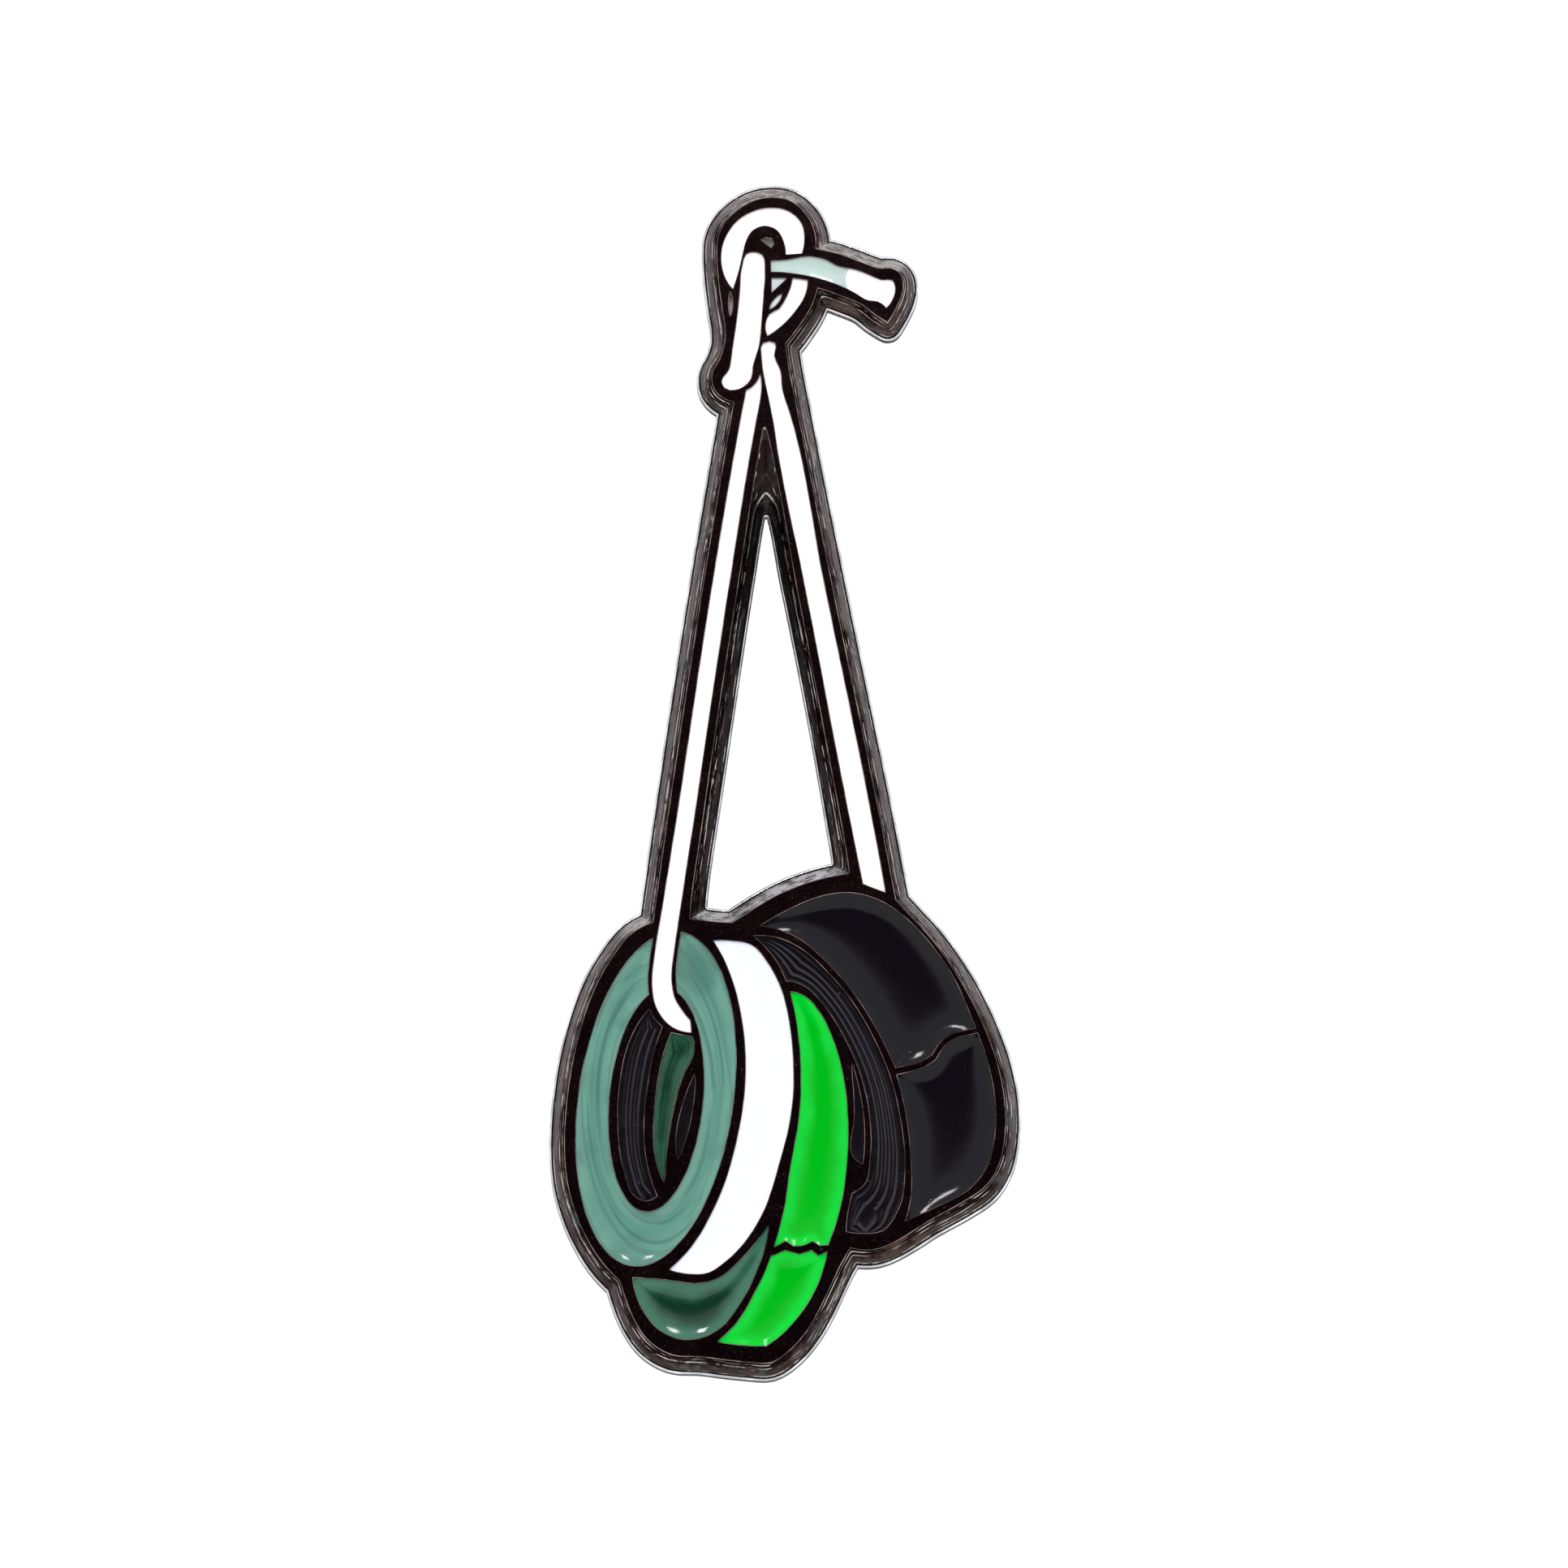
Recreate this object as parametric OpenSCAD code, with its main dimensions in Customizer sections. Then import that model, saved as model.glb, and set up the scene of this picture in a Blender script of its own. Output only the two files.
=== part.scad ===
// Enamel pin badge: tape rolls hung on a knotted cord, with two posts and butterfly clutches.
// The badge stands upright: X is its width, Z its height, its front faces -Y and its posts point +Y.
// The origin is on the back face, midway between the two posts. All sizes are in millimetres.

/* [Badge] */
// Overall height of the badge
badge_h = 55.65; // [44:0.05:70]
// Thickness from the back face to the tops of the metal lines
badge_t = 2; // [1.7:0.05:3]
// Thickness of the flange round the foot of the sloped edge
flange_t = 0.9; // [0.6:0.05:1.1]
// Width of the raised rim round the colours
rim_w = 0.55; // [0.4:0.01:0.7]
// Width of the sloped edge outside the rim
slope_w = 0.55; // [0.3:0.01:0.7]
// Radius of the gap's corners
gap_round = 0.05; // [0.05:0.01:0.3]
// Width of the lip left outside the slope
lip_w = 0.15; // [0.05:0.01:0.3]
// Width of the metal lines between two colours
line_w = 0.3; // [0.2:0.01:0.4]

/* [Enamel] */
// Depth of the cells below the metal lines
cell_depth = 0.7; // [0.4:0.01:0.85]
// Height left empty above the enamel
enamel_drop = 0.2; // [0.1:0.01:0.3]

/* [Posts] */
// Diameter of a post
post_d = 1.1; // [0.9:0.01:1.35]
// Length of a post from the back face to its tip
post_len = 7.5; // [6:0.05:9.5]
// Diameter of the pad that joins a post to the back
pad_d = 3.2; // [2.4:0.1:4]
// Thickness of that pad
pad_t = 0.35; // [0.2:0.01:0.5]
// Depth that the pad is let into the back
pad_sink = 0.1; // [0.05:0.01:0.2]
// Room for cloth between the back face and a clutch
cloth_gap = 2.1; // [1.8:0.05:2.6]
// Direction of the second post from the first, above the X axis
post_lean = 25; // [0:1:60]

/* [Clutches] */
// Diameter of a clutch
clutch_d = 10; // [8.4:0.1:12]
// Height of a clutch from its base to the top of its dome
clutch_h = 6.2; // [5.6:0.05:7.6]
// Thickness of the sheet metal
sheet_t = 0.3; // [0.25:0.01:0.36]
// Diameter of the dome over the post
dome_d = 5.2; // [4.6:0.05:6.2]
// Width of a wing where a finger presses it
wing_w = 5.6; // [4.6:0.1:6.6]

/* [Hidden] */
SIDES = ["left", "right"];
NODES = concat(
    ["base", "ring_top_enamel", "ring_side_enamel", "ring_sliver_enamel", "ring_web_enamel",
     "cord_tail_enamel", "cord_end_grey_enamel", "cord_end_white_enamel",
     "left_cord_enamel", "right_cord_enamel",
     "front_roll_face_enamel", "front_roll_side_enamel", "front_roll_bore_enamel",
     "middle_roll_bore_enamel", "back_roll_glimpse_enamel",
     "middle_roll_face_enamel", "middle_roll_side_enamel", "middle_roll_tape_end_enamel",
     "black_roll_face_enamel", "black_roll_bore_enamel",
     "black_roll_side_enamel", "black_roll_tape_end_enamel"],
    [for (s = SIDES) str("post_", s)],
    [for (s = SIDES) str("clutch_base_", s)],
    [for (s = SIDES) str("clutch_cap_", s)],
    [for (s = SIDES) str("clutch_spring_", s)],
    [for (s = SIDES) str("clutch_upper_wing_", s)],
    [for (s = SIDES) str("clutch_lower_wing_", s)]);

overlap = 0.05;         // how far a cutting tool passes the face that it cuts
facet = 0.3;            // shortest straight piece that a drawn curve is made of
facet_turn = 5;         // least angle turned over one of those pieces
native_h = 53.15;       // height of the coloured area as it is drawn below
native_line = 0.3;      // width of the lines between colours as they are drawn below
native_rim = 0.55;      // width of the rim as it is drawn below
pad_fit = 0.05;         // gap round a pad in its seat
post_gap = clutch_d + 0.5;      // distance between the two posts
art = (badge_h - 2 * (slope_w + lip_w)) / (native_h + 2 * native_rim);
cell_trim = (native_line * art - line_w) / 2;
rim_grow = rim_w - native_rim * art;
enamel_t = cell_depth - enamel_drop;

// Where each post stands on the back.
function post_side(s) = s == "left" ? -1 : 1;
function post_x(s) = post_side(s) * post_gap / 2 * cos(post_lean);
function post_z(s) = post_side(s) * post_gap / 2 * sin(post_lean);

// ---------- curves ----------
// A point is [x, z], or [x, z, 1] where the outline turns a corner.

function flat(p) = [p[0], p[1]];
function is_corner(p) = len(p) == 3;
function angle_between(a, b) = acos(min(1, max(-1, a * b)));
function unit(v) = v / max(norm(v), 1e-9);

// Direction of a smooth curve at b, between its neighbours a and c.
function along(a, b, c) = unit(unit(b - a) * norm(c - b) + unit(c - b) * norm(b - a));

function hermite(a, b, ta, tb, t) =
    (2 * t ^ 3 - 3 * t ^ 2 + 1) * a + (t ^ 3 - 2 * t ^ 2 + t) * ta
    + (3 * t ^ 2 - 2 * t ^ 3) * b + (t ^ 3 - t ^ 2) * tb;

// Closed curve through the points p, sharp at the corners.
function outline(p) = [
    for (i = [0 : len(p) - 1])
    let (
        n = len(p),
        a = flat(p[i]),
        b = flat(p[(i + 1) % n]),
        before = flat(p[(i + n - 1) % n]),
        after = flat(p[(i + 2) % n]),
        chord = norm(b - a),
        straight = unit(b - a),
        corner_a = is_corner(p[i]),
        corner_b = is_corner(p[(i + 1) % n]),
        free_a = along(before, a, b),
        free_b = along(a, b, after),
        ta = !corner_a ? free_a : corner_b ? straight : unit(2 * straight - free_b),
        tb = !corner_b ? free_b : corner_a ? straight : unit(2 * straight - free_a),
        turn = angle_between(ta, straight) + angle_between(straight, tb),
        steps = max(1, ceil(min(chord / facet, turn / facet_turn)))
    )
    for (k = [0 : steps - 1]) hermite(a, b, ta * chord, tb * chord, k / steps)
];

// Ellipse about c with half axes a and b, its long axis leaning from Z towards +X.
function ellipse(c, a, b, lean, n = 90) = [
    for (i = [0 : n - 1])
    let (t = 360 * i / n, u = a * cos(t), v = b * sin(t))
    c + [u * cos(lean) + v * sin(lean), v * cos(lean) - u * sin(lean)]
];

// Strip of width w along the open path p.
function strip(p, w) =
    let (
        n = len(p),
        side = [for (i = [0 : n - 1])
            let (t = i == 0 ? unit(p[1] - p[0])
                   : i == n - 1 ? unit(p[n - 1] - p[n - 2])
                   : along(p[i - 1], p[i], p[i + 1]))
            [-t[1], t[0]] * w / 2]
    )
    concat([for (i = [0 : n - 1]) p[i] + side[i]],
           [for (i = [n - 1 : -1 : 0]) p[i] - side[i]]);

// ---------- the drawing, in its own millimetres ----------

front_outer = ellipse([-5.87, -0.1], 3.55, 7.81, 8.2);
front_inner = ellipse([-5.86, -0.15], 2.18, 5.22, 5.4);

left_cord = [
    [-1.05, 33.65, 1], [-1.32, 33.15], [-1.7, 32.88, 1], [-1.85, 32.1], [-3.24, 24], [-4.9, 13],
    [-5.6, 8.6], [-5.92, 6.6], [-6.03, 5.2], [-5.82, 4.1], [-5.1, 3.25], [-4.24, 2.98, 1],
    [-4.3, 3.55, 1], [-4.68, 4.02], [-5.02, 4.6], [-5.16, 5.4], [-5.06, 6.7], [-4.78, 8.6],
    [-4.12, 13], [-2.48, 24], [-1.2, 31.8], [-1.03, 32.8]];
right_cord = [
    [-0.92, 35.08], [-0.98, 34.4], [-0.86, 33.5], [-0.42, 31.3], [-0.24, 30.1], [0.97, 24],
    [3.08, 13], [3.7, 9.9, 1], [4.72, 9.5, 1], [4.08, 13], [1.86, 24], [0.24, 32], [-0.06, 33],
    [-0.14, 33.8], [-0.42, 34.5], [-0.4, 35.1]];

ring_top = [
    [-2.33, 37.65, 1], [-2.68, 38.2], [-2.86, 39], [-2.72, 39.9], [-2.3, 40.6], [-1.6, 41.15],
    [-0.6, 41.4], [0.3, 41.22], [0.82, 40.7], [0.97, 40.05], [0.86, 39.3, 1], [0.13, 39.25, 1],
    [0.02, 39.9], [-0.32, 40.42], [-0.86, 40.6], [-1.4, 40.4], [-1.7, 39.95], [-1.88, 39.3],
    [-2.07, 38.5]];
ring_side = [
    [0.45, 38.12, 1], [1.13, 38.03, 1], [0.98, 37.3], [0.55, 36.6], [-0.05, 35.95],
    [-0.72, 35.45, 1], [-0.8, 36], [-0.62, 36.45], [-0.2, 36.68], [0.12, 37.15]];
ring_sliver = [[-0.64, 36.68, 1], [-0.5, 37], [-0.04, 37.42, 1], [-0.28, 36.95]];
ring_web = [[-0.53, 38.13, 1], [0.17, 38.13, 1], [-0.53, 37.47, 1]];
ring_slit = [[-2.45, 37.5, 1], [-2.34, 37], [-2.45, 36.35, 1], [-2.52, 36.95]];
ring_hole = [[-1.02, 39.92, 1], [-0.55, 39.98], [-0.44, 39.72], [-0.55, 39.56, 1]];
cord_tail = [
    [-1.7, 39.25], [-1.35, 39.34], [-0.98, 39.2], [-0.86, 38.6], [-0.9, 37.6], [-1.02, 36],
    [-1.15, 34.9], [-1.42, 34], [-1.5, 33.45], [-1.9, 33.05, 1], [-2.7, 33.02], [-2.84, 33.3],
    [-2.5, 33.85], [-2.36, 34.6], [-2.18, 36], [-2.0, 37.4], [-1.86, 38.8]];
cord_end = [
    [-0.55, 38.92, 1], [0.3, 39], [1.2, 39.13], [2, 38.95], [2.5, 38.7], [3.3, 38.52],
    [4.1, 38.22], [4.6, 38.04], [5.05, 38.03], [5.18, 37.7], [5.08, 37.2], [4.78, 36.76, 1],
    [4.4, 37.05], [4, 37.1], [3.2, 37.53], [2.2, 37.97], [1, 38.29], [-0.55, 38.45, 1]];
white_end_centre = [3.85, 38.05];
white_end_r = 0.95;

front_side = [
    [-3.22, 7.25, 1], [-2.3, 7.22], [-1.5, 7.06], [-0.75, 6.25], [-0.1, 4.98], [0.25, 3.6],
    [0.44, 1.8], [0.44, 0], [0.2, -1.6], [-0.25, -3.3], [-0.85, -5.15], [-1.7, -6.62],
    [-2.7, -7.66], [-3.5, -8.16], [-4.3, -8.2], [-5.24, -8.02, 1], [-4.25, -7], [-3.3, -5.45],
    [-2.5, -3.45], [-1.98, -1.3], [-1.72, 0.8], [-1.78, 2.8], [-2.2, 5], [-2.75, 6.45]];
front_bore = [
    [-6.18, 4.05, 1], [-5.95, 3.62], [-5.6, 3.25, 1], [-5.98, 2.1], [-6.28, 0.5], [-6.45, -1.4],
    [-6.28, -3.2], [-5.83, -4.6, 1], [-6.3, -4.82], [-6.8, -4.62], [-7.3, -3.5], [-7.6, -1.5],
    [-7.52, 0.6], [-7.1, 2.5], [-6.6, 3.5]];
middle_bore = [
    [-5.15, 2.95, 1], [-4.2, 2.76, 1], [-4.12, 2.1], [-4.62, 1], [-5.05, -0.5], [-5.33, -2.1],
    [-5.5, -3.95, 1], [-5.86, -2.9], [-5.96, -1.2], [-5.8, 0.5], [-5.5, 2]];
back_glimpse = [
    [-4.08, 1.02, 1], [-4.14, -0.2], [-4.4, -1.6], [-4.86, -2.92, 1], [-4.93, -2], [-4.66, -0.5]];
middle_face = [
    [-6.92, -8.4, 1], [-5.3, -8.52], [-3.8, -8.66], [-3, -8.42], [-2, -7.62], [-1.2, -6.72],
    [-0.66, -5.98, 1], [-0.86, -7], [-1.32, -8.3], [-2.05, -9.65], [-2.9, -10.7], [-3.8, -11.17],
    [-4.75, -11.22], [-5.7, -10.8], [-6.45, -9.9]];
middle_side = [
    [0.35, 4.87, 1], [1.05, 4.62], [1.75, 3.8], [2.35, 2.5], [2.8, 0.7], [2.98, -1.2],
    [2.9, -3.4], [2.58, -5.3], [2.06, -6.86, 1], [1.68, -6.88, 1], [1.35, -6.68, 1],
    [0.95, -6.88, 1], [0.5, -6.92, 1], [0.1, -6.66, 1], [-0.42, -6.98, 1], [0.02, -5.4],
    [0.36, -3.2], [0.74, -1], [0.84, 0.8], [0.72, 2.8]];
middle_tape_end = [
    [-0.54, -7.4, 1], [0.1, -7.14, 1], [0.75, -7.32, 1], [1.3, -7.14, 1], [1.62, -7.38, 1],
    [2.02, -7.2, 1], [1.62, -8.6], [0.9, -9.9], [0, -10.95], [-0.8, -11.55, 1], [-2, -11.5],
    [-3.02, -11.36, 1], [-2.1, -10.45], [-1.3, -9.1]];
black_face = [
    [-1.35, 7.46, 1], [-0.3, 7.38], [0.8, 6.88], [2, 5.82], [3.1, 4.52], [4.15, 2.75],
    [4.95, 0.85], [5.42, -1.2], [5.6, -3.3], [5.3, -5.2], [4.55, -6.2], [3.7, -6.32],
    [2.92, -6.24, 1], [3.02, -5.3], [3.2, -4.5, 1], [3.75, -4.1], [4.04, -2.8], [4.02, -1],
    [3.6, 1], [2.85, 2.75], [1.9, 4.25], [1.05, 5.12], [0.15, 5.4, 1], [-0.35, 6.4]];
black_bore = [
    [3.18, 1.5, 1], [3.5, 0.3], [3.72, -1.2], [3.66, -3.1, 1], [3.36, -2.9], [3.3, -0.9]];
black_side = [
    [-1, 7.96, 1], [0.3, 8.7], [1.7, 9.28], [3.1, 9.46], [4.5, 9.08], [5.7, 8.25], [6.9, 6.95],
    [7.9, 5.45], [8.6, 3.85], [8.86, 3.2, 1], [7.75, 2.95, 1], [7.2, 2.5, 1], [6.85, 1.95, 1],
    [6.4, 1.68, 1], [5.2, 1.36, 1], [4.3, 3.2], [3.2, 4.92], [1.9, 6.4], [0.5, 7.5]];
black_tape_end = [
    [5.26, 1, 1], [6.55, 1.38, 1], [7.05, 1.7, 1], [7.45, 2.32, 1], [7.9, 2.65, 1], [8.96, 2.94, 1],
    [9.45, 1.5], [9.74, 0], [9.74, -1.8], [9.4, -3.2], [8.6, -4.25], [7.2, -5.02],
    [5.66, -5.74, 1], [5.92, -4.6], [5.92, -3], [5.72, -1]];

// Outer edge of the rim, clockwise from the top of the ring.
rim = [
    [-0.55, 41.92], [0.35, 41.76], [1, 41.22], [1.4, 40.55], [1.52, 39.52, 1], [2.7, 39.25],
    [3.84, 38.82], [4.5, 38.6], [5, 38.6], [5.36, 38.42], [5.57, 37.9], [5.5, 37.35], [5.2, 36.65],
    [4.84, 36.05, 1], [4.2, 36.45], [3.7, 36.85], [2.8, 37.25], [1.62, 37.66, 1], [1.36, 36.9],
    [0.86, 36.05], [0.12, 35.06, 1], [0.24, 34.2], [0.56, 32.5], [0.66, 32], [2.24, 24],
    [4.48, 13], [5.22, 9.15, 1], [6, 8.3], [6.9, 7.3], [7.8, 6.05], [8.6, 4.7], [9.35, 3.1],
    [9.95, 1.35], [10.25, -0.4], [10.22, -2], [9.98, -3.1], [9.4, -4.1], [8.2, -4.95], [6.6, -5.85],
    [5.2, -6.72], [4.3, -7.08], [3.1, -7.02, 1], [2.72, -7.7], [2.1, -9], [1.3, -10.55],
    [0.4, -11.68], [-0.6, -12.34], [-1.6, -12.32], [-3.9, -12.06], [-5.1, -11.98], [-6.1, -11.42],
    [-6.85, -10.4], [-7.3, -9.3], [-7.55, -8.52, 1], [-8.3, -7.75], [-9, -6.68], [-9.58, -5.4],
    [-9.96, -4], [-10.1, -2.3], [-10.02, -0.5], [-9.8, 1.2], [-9.35, 3.2], [-8.7, 5.05],
    [-7.85, 6.55], [-7.05, 7.55], [-6.02, 8.12, 1], [-5.34, 13], [-3.68, 24], [-2.3, 32.35, 1],
    [-2.75, 32.5], [-3.2, 32.95], [-3.27, 33.75], [-2.98, 34.3], [-2.74, 35], [-2.7, 35.8],
    [-2.82, 36.6], [-2.98, 37.8], [-3.08, 39.2], [-3, 40.15], [-2.7, 40.78], [-2.15, 41.32],
    [-1.4, 41.76]];
// Gap in the rim between the two cords, above the rolls.
gap = [
    [-4.3, 8.28, 1], [-2.35, 8.1, 1], [-1.15, 8.88], [0.17, 9.58], [1.4, 10.03], [3.04, 10.39, 1],
    [2.62, 13], [0.56, 24], [-0.86, 31.4, 1], [-2.04, 24], [-3.68, 13]];

// ---------- areas of the drawing, at the badge's size ----------

module drawn(points) {
    polygon([for (p = points) p * art]);
}

// One cell of the badge, trimmed so that the lines between cells are line_w wide.
module cell(name) {
    offset(delta = cell_trim) cell_shape(name);
}

module cell_shape(name) {
    if (name == "ring_top_enamel") drawn(outline(ring_top));
    if (name == "ring_side_enamel") drawn(outline(ring_side));
    if (name == "ring_sliver_enamel") drawn(outline(ring_sliver));
    if (name == "ring_web_enamel") drawn(outline(ring_web));
    if (name == "cord_tail_enamel") drawn(outline(cord_tail));
    if (name == "left_cord_enamel") drawn(outline(left_cord));
    if (name == "right_cord_enamel") drawn(outline(right_cord));
    if (name == "cord_end_white_enamel") intersection() {
        drawn(outline(cord_end));
        white_end_area();
    }
    if (name == "front_roll_face_enamel") difference() {
        drawn(front_outer);
        drawn(front_inner);
        offset(delta = native_line * art * 0.75) drawn(outline(left_cord));
    }
    if (name == "front_roll_side_enamel") drawn(outline(front_side));
    if (name == "front_roll_bore_enamel") drawn(outline(front_bore));
    if (name == "middle_roll_bore_enamel") drawn(outline(middle_bore));
    if (name == "back_roll_glimpse_enamel") drawn(outline(back_glimpse));
    if (name == "middle_roll_face_enamel") drawn(outline(middle_face));
    if (name == "middle_roll_side_enamel") drawn(outline(middle_side));
    if (name == "middle_roll_tape_end_enamel") drawn(outline(middle_tape_end));
    if (name == "black_roll_face_enamel") drawn(outline(black_face));
    if (name == "black_roll_bore_enamel") drawn(outline(black_bore));
    if (name == "black_roll_side_enamel") drawn(outline(black_side));
    if (name == "black_roll_tape_end_enamel") drawn(outline(black_tape_end));
}

// Where the cord's cut end is white: past a round edge, out to the end.
module white_end_area() {
    translate(white_end_centre * art) circle(r = white_end_r * art, $fn = 64);
    translate([white_end_centre[0] * art, 0]) square([4, 60] * art);
}

// The grey part of the cord's end fills what the white part leaves.
module cell_area(name) {
    if (name == "cord_end_grey_enamel") difference() {
        offset(delta = cell_trim) drawn(outline(cord_end));
        cell("cord_end_white_enamel");
    }
    else cell(name);
}

module open_cells() {
    offset(delta = cell_trim) {
        drawn(outline(ring_slit));
        drawn(outline(ring_hole));
    }
}

module all_cells() {
    for (name = NODES) cell(name);
    offset(delta = cell_trim) drawn(outline(cord_end));
    open_cells();
}

// The badge's outline, w outside the rim, with the gap between the cords closed.
module rim_area(w) {
    offset(r = w, $fn = 48) drawn(outline(rim));
}

// The gap between the cords, w inside the rim that surrounds it, with its corners eased.
module gap_area(w) {
    offset(r = gap_round, $fn = 48) offset(delta = -w - gap_round) drawn(outline(gap));
}

// ---------- badge ----------

// Turns a drawing in XY, raised along Z, into one in XZ whose front is -Y.
module upright() {
    rotate([90, 0, 0]) children();
}

// Slab of the badge, from height z upwards, with its outline merged into one.
module slab(z, h) {
    translate([0, 0, z]) linear_extrude(h) offset(delta = 0) children();
}

// The badge's outline, w outside the rim, with the gap between the cords open.
module metal_area(w) {
    difference() {
        rim_area(w);
        gap_area(w);
    }
}

// Round seat in the back that a post's pad is soldered into.
module pad_seat(s) {
    translate([post_x(s), post_z(s), -overlap])
        cylinder(r = pad_d / 2 + pad_fit, h = pad_sink + overlap, $fn = 64);
}

module base() {
    floor_z = badge_t - cell_depth;
    color([0.16, 0.14, 0.14]) upright() {
        difference() {
            slab(0, flange_t) metal_area(rim_grow + slope_w + lip_w);
            for (s = SIDES) pad_seat(s);
        }
        slab(flange_t, floor_z - flange_t) metal_area(rim_grow);
        slab(floor_z, cell_depth) difference() {
            metal_area(rim_grow);
            all_cells();
        }
    }
}

module enamel(name, paint) {
    color(paint) upright() slab(badge_t - cell_depth, enamel_t) cell_area(name);
}

// ---------- posts and clutches ----------
// Each is built about a Z axis that points away from the back, and then stood at its post.

run_gap = 0.06;                             // running gap between clutch parts that turn
jaw_gap = 0.1;                              // gap between a jaw and the post
clear = 0.2;                                // room round a moving wing
hole_gap = 0.08;                            // gap between a clutch's hole and the post
post_r = post_d / 2;
pad_top = pad_t - pad_sink;
pad_bevel = pad_t * 0.4;
root_w = 0.3;                               // size of the cone where the post leaves its pad
point_h = 0.9;                              // length of the post's point
point_r = 0.12;                             // radius of the point's end
groove_z = post_len - 1.6;                  // groove that the jaws click into
groove_t = 0.35;
groove_deep = 0.12;
base_r = clutch_d / 2;
seat_z = sheet_t + run_gap;                 // underside of the cap's flange
rim_h = 3 * sheet_t + 2 * run_gap;          // height of the rim that holds the flange
curl_w = 0.75;                              // width of the rim's curled lip
dome_r = dome_d / 2;
dome_in = dome_r - sheet_t;
dome_z = clutch_h - dome_r;                 // where the wall turns into the dome
neck_w = dome_d * 0.5;
jaw_w = dome_d * 0.62;
pivot_y = dome_r;
pivot_z = rim_h + 1.1;
pivot_r = 0.27;                             // radius of the bead that a wing turns on
jaw_z = seat_z + sheet_t + 0.4;
jaw_len = pivot_y * 0.5;
tab_y = base_r + 0.4;
tab_z = pivot_z + 1.8;
flare_y = pivot_y + 1.1;                    // where a tab reaches its full width
window_low = jaw_z - sheet_t / 2 - clear / 2;
window_high = pivot_z + sheet_t + 0.45;
spring_z = window_high + 0.15;
spring_r = sqrt(dome_in ^ 2 - max(0, spring_z + sheet_t - dome_z) ^ 2);    // fits in the dome

module at_post(s) {
    translate([post_x(s), 0, post_z(s)]) rotate([-90, 0, 0]) children();
}

module post(s) {
    color([0.72, 0.7, 0.66]) at_post(s) difference() {
        union() {
            translate([0, 0, -pad_sink]) cylinder(r = pad_d / 2, h = pad_t - pad_bevel, $fn = 64);
            translate([0, 0, pad_top - pad_bevel])
                cylinder(r1 = pad_d / 2, r2 = pad_d / 2 - pad_bevel, h = pad_bevel, $fn = 64);
            translate([0, 0, pad_top])
                cylinder(r1 = post_r + root_w, r2 = post_r, h = root_w, $fn = 64);
            cylinder(r = post_r, h = post_len - point_h, $fn = 64);
            translate([0, 0, post_len - point_h])
                cylinder(r1 = post_r, r2 = point_r, h = point_h, $fn = 64);
        }
        translate([0, 0, groove_z]) difference() {
            cylinder(r = post_d, h = groove_t, $fn = 64);
            translate([0, 0, -overlap])
                cylinder(r = post_r - groove_deep, h = groove_t + 2 * overlap, $fn = 64);
        }
    }
}

module at_clutch(s) {
    at_post(s) translate([0, 0, cloth_gap]) children();
}

module clutch_base(s) {
    color([0.8, 0.78, 0.72]) at_clutch(s) difference() {
        cylinder(r = base_r, h = rim_h, $fn = 96);
        translate([0, 0, sheet_t])
            cylinder(r = base_r - sheet_t, h = rim_h - 2 * sheet_t, $fn = 96);
        translate([0, 0, sheet_t]) cylinder(r = base_r - curl_w, h = rim_h, $fn = 96);
        translate([0, 0, -overlap])
            cylinder(r = post_r + hole_gap, h = sheet_t + 2 * overlap, $fn = 64);
    }
}

// Upper half of a ball, at the height where the cap's wall ends.
module dome(r) {
    translate([0, 0, dome_z]) intersection() {
        sphere(r = r, $fn = 96);
        cylinder(r = r + 1, h = r + 1, $fn = 96);
    }
}

module clutch_cap(s) {
    color([0.8, 0.78, 0.72]) at_clutch(s) difference() {
        union() {
            translate([0, 0, seat_z])
                cylinder(r = base_r - sheet_t - run_gap, h = sheet_t, $fn = 96);
            translate([0, 0, seat_z]) cylinder(r = dome_r, h = dome_z - seat_z, $fn = 96);
            dome(dome_r);
        }
        translate([0, 0, seat_z - overlap])
            cylinder(r = dome_in, h = dome_z - seat_z + overlap, $fn = 96);
        dome(dome_in);
        translate([-neck_w / 2 - clear, -base_r, window_low])
            cube([neck_w + 2 * clear, 2 * base_r, window_high - window_low]);
    }
}

// Ring that bears on the dome's wall, with two legs that press the jaws together.
module clutch_spring(s) {
    leg_y = post_r + 0.35;
    color([0.6, 0.58, 0.55]) at_clutch(s) {
        translate([0, 0, spring_z]) difference() {
            cylinder(r = spring_r, h = sheet_t, $fn = 96);
            translate([0, 0, -overlap]) cylinder(r = leg_y, h = sheet_t + 2 * overlap, $fn = 64);
            rotate(45) translate([0, -0.35, -overlap])
                cube([dome_r + 1, 0.7, sheet_t + 2 * overlap]);
        }
        for (dir = [-1, 1])
            translate([-0.4, dir > 0 ? leg_y : -leg_y - sheet_t * 0.8, jaw_z + sheet_t / 2 + 0.05])
                cube([0.8, sheet_t * 0.8, spring_z - jaw_z - sheet_t / 2]);
    }
}

// One wing: a jaw beside the post, a neck through the window, and a tab for a finger.
module wing(s, upper) {
    color([0.8, 0.78, 0.72]) at_clutch(s) rotate(upper ? 180 : 0) {
        intersection() {
            rotate([90, 0, 90]) translate([0, 0, -wing_w]) linear_extrude(2 * wing_w)
                polygon(strip([[0, jaw_z], [jaw_len, jaw_z], [pivot_y, pivot_z],
                               [tab_y - 0.9, tab_z - 0.45], [tab_y, tab_z]], sheet_t));
            linear_extrude(clutch_h) wing_plan();
        }
        translate([-neck_w / 2, pivot_y, pivot_z]) rotate([0, 90, 0])
            cylinder(r = pivot_r, h = neck_w, $fn = 32);
    }
}

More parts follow.
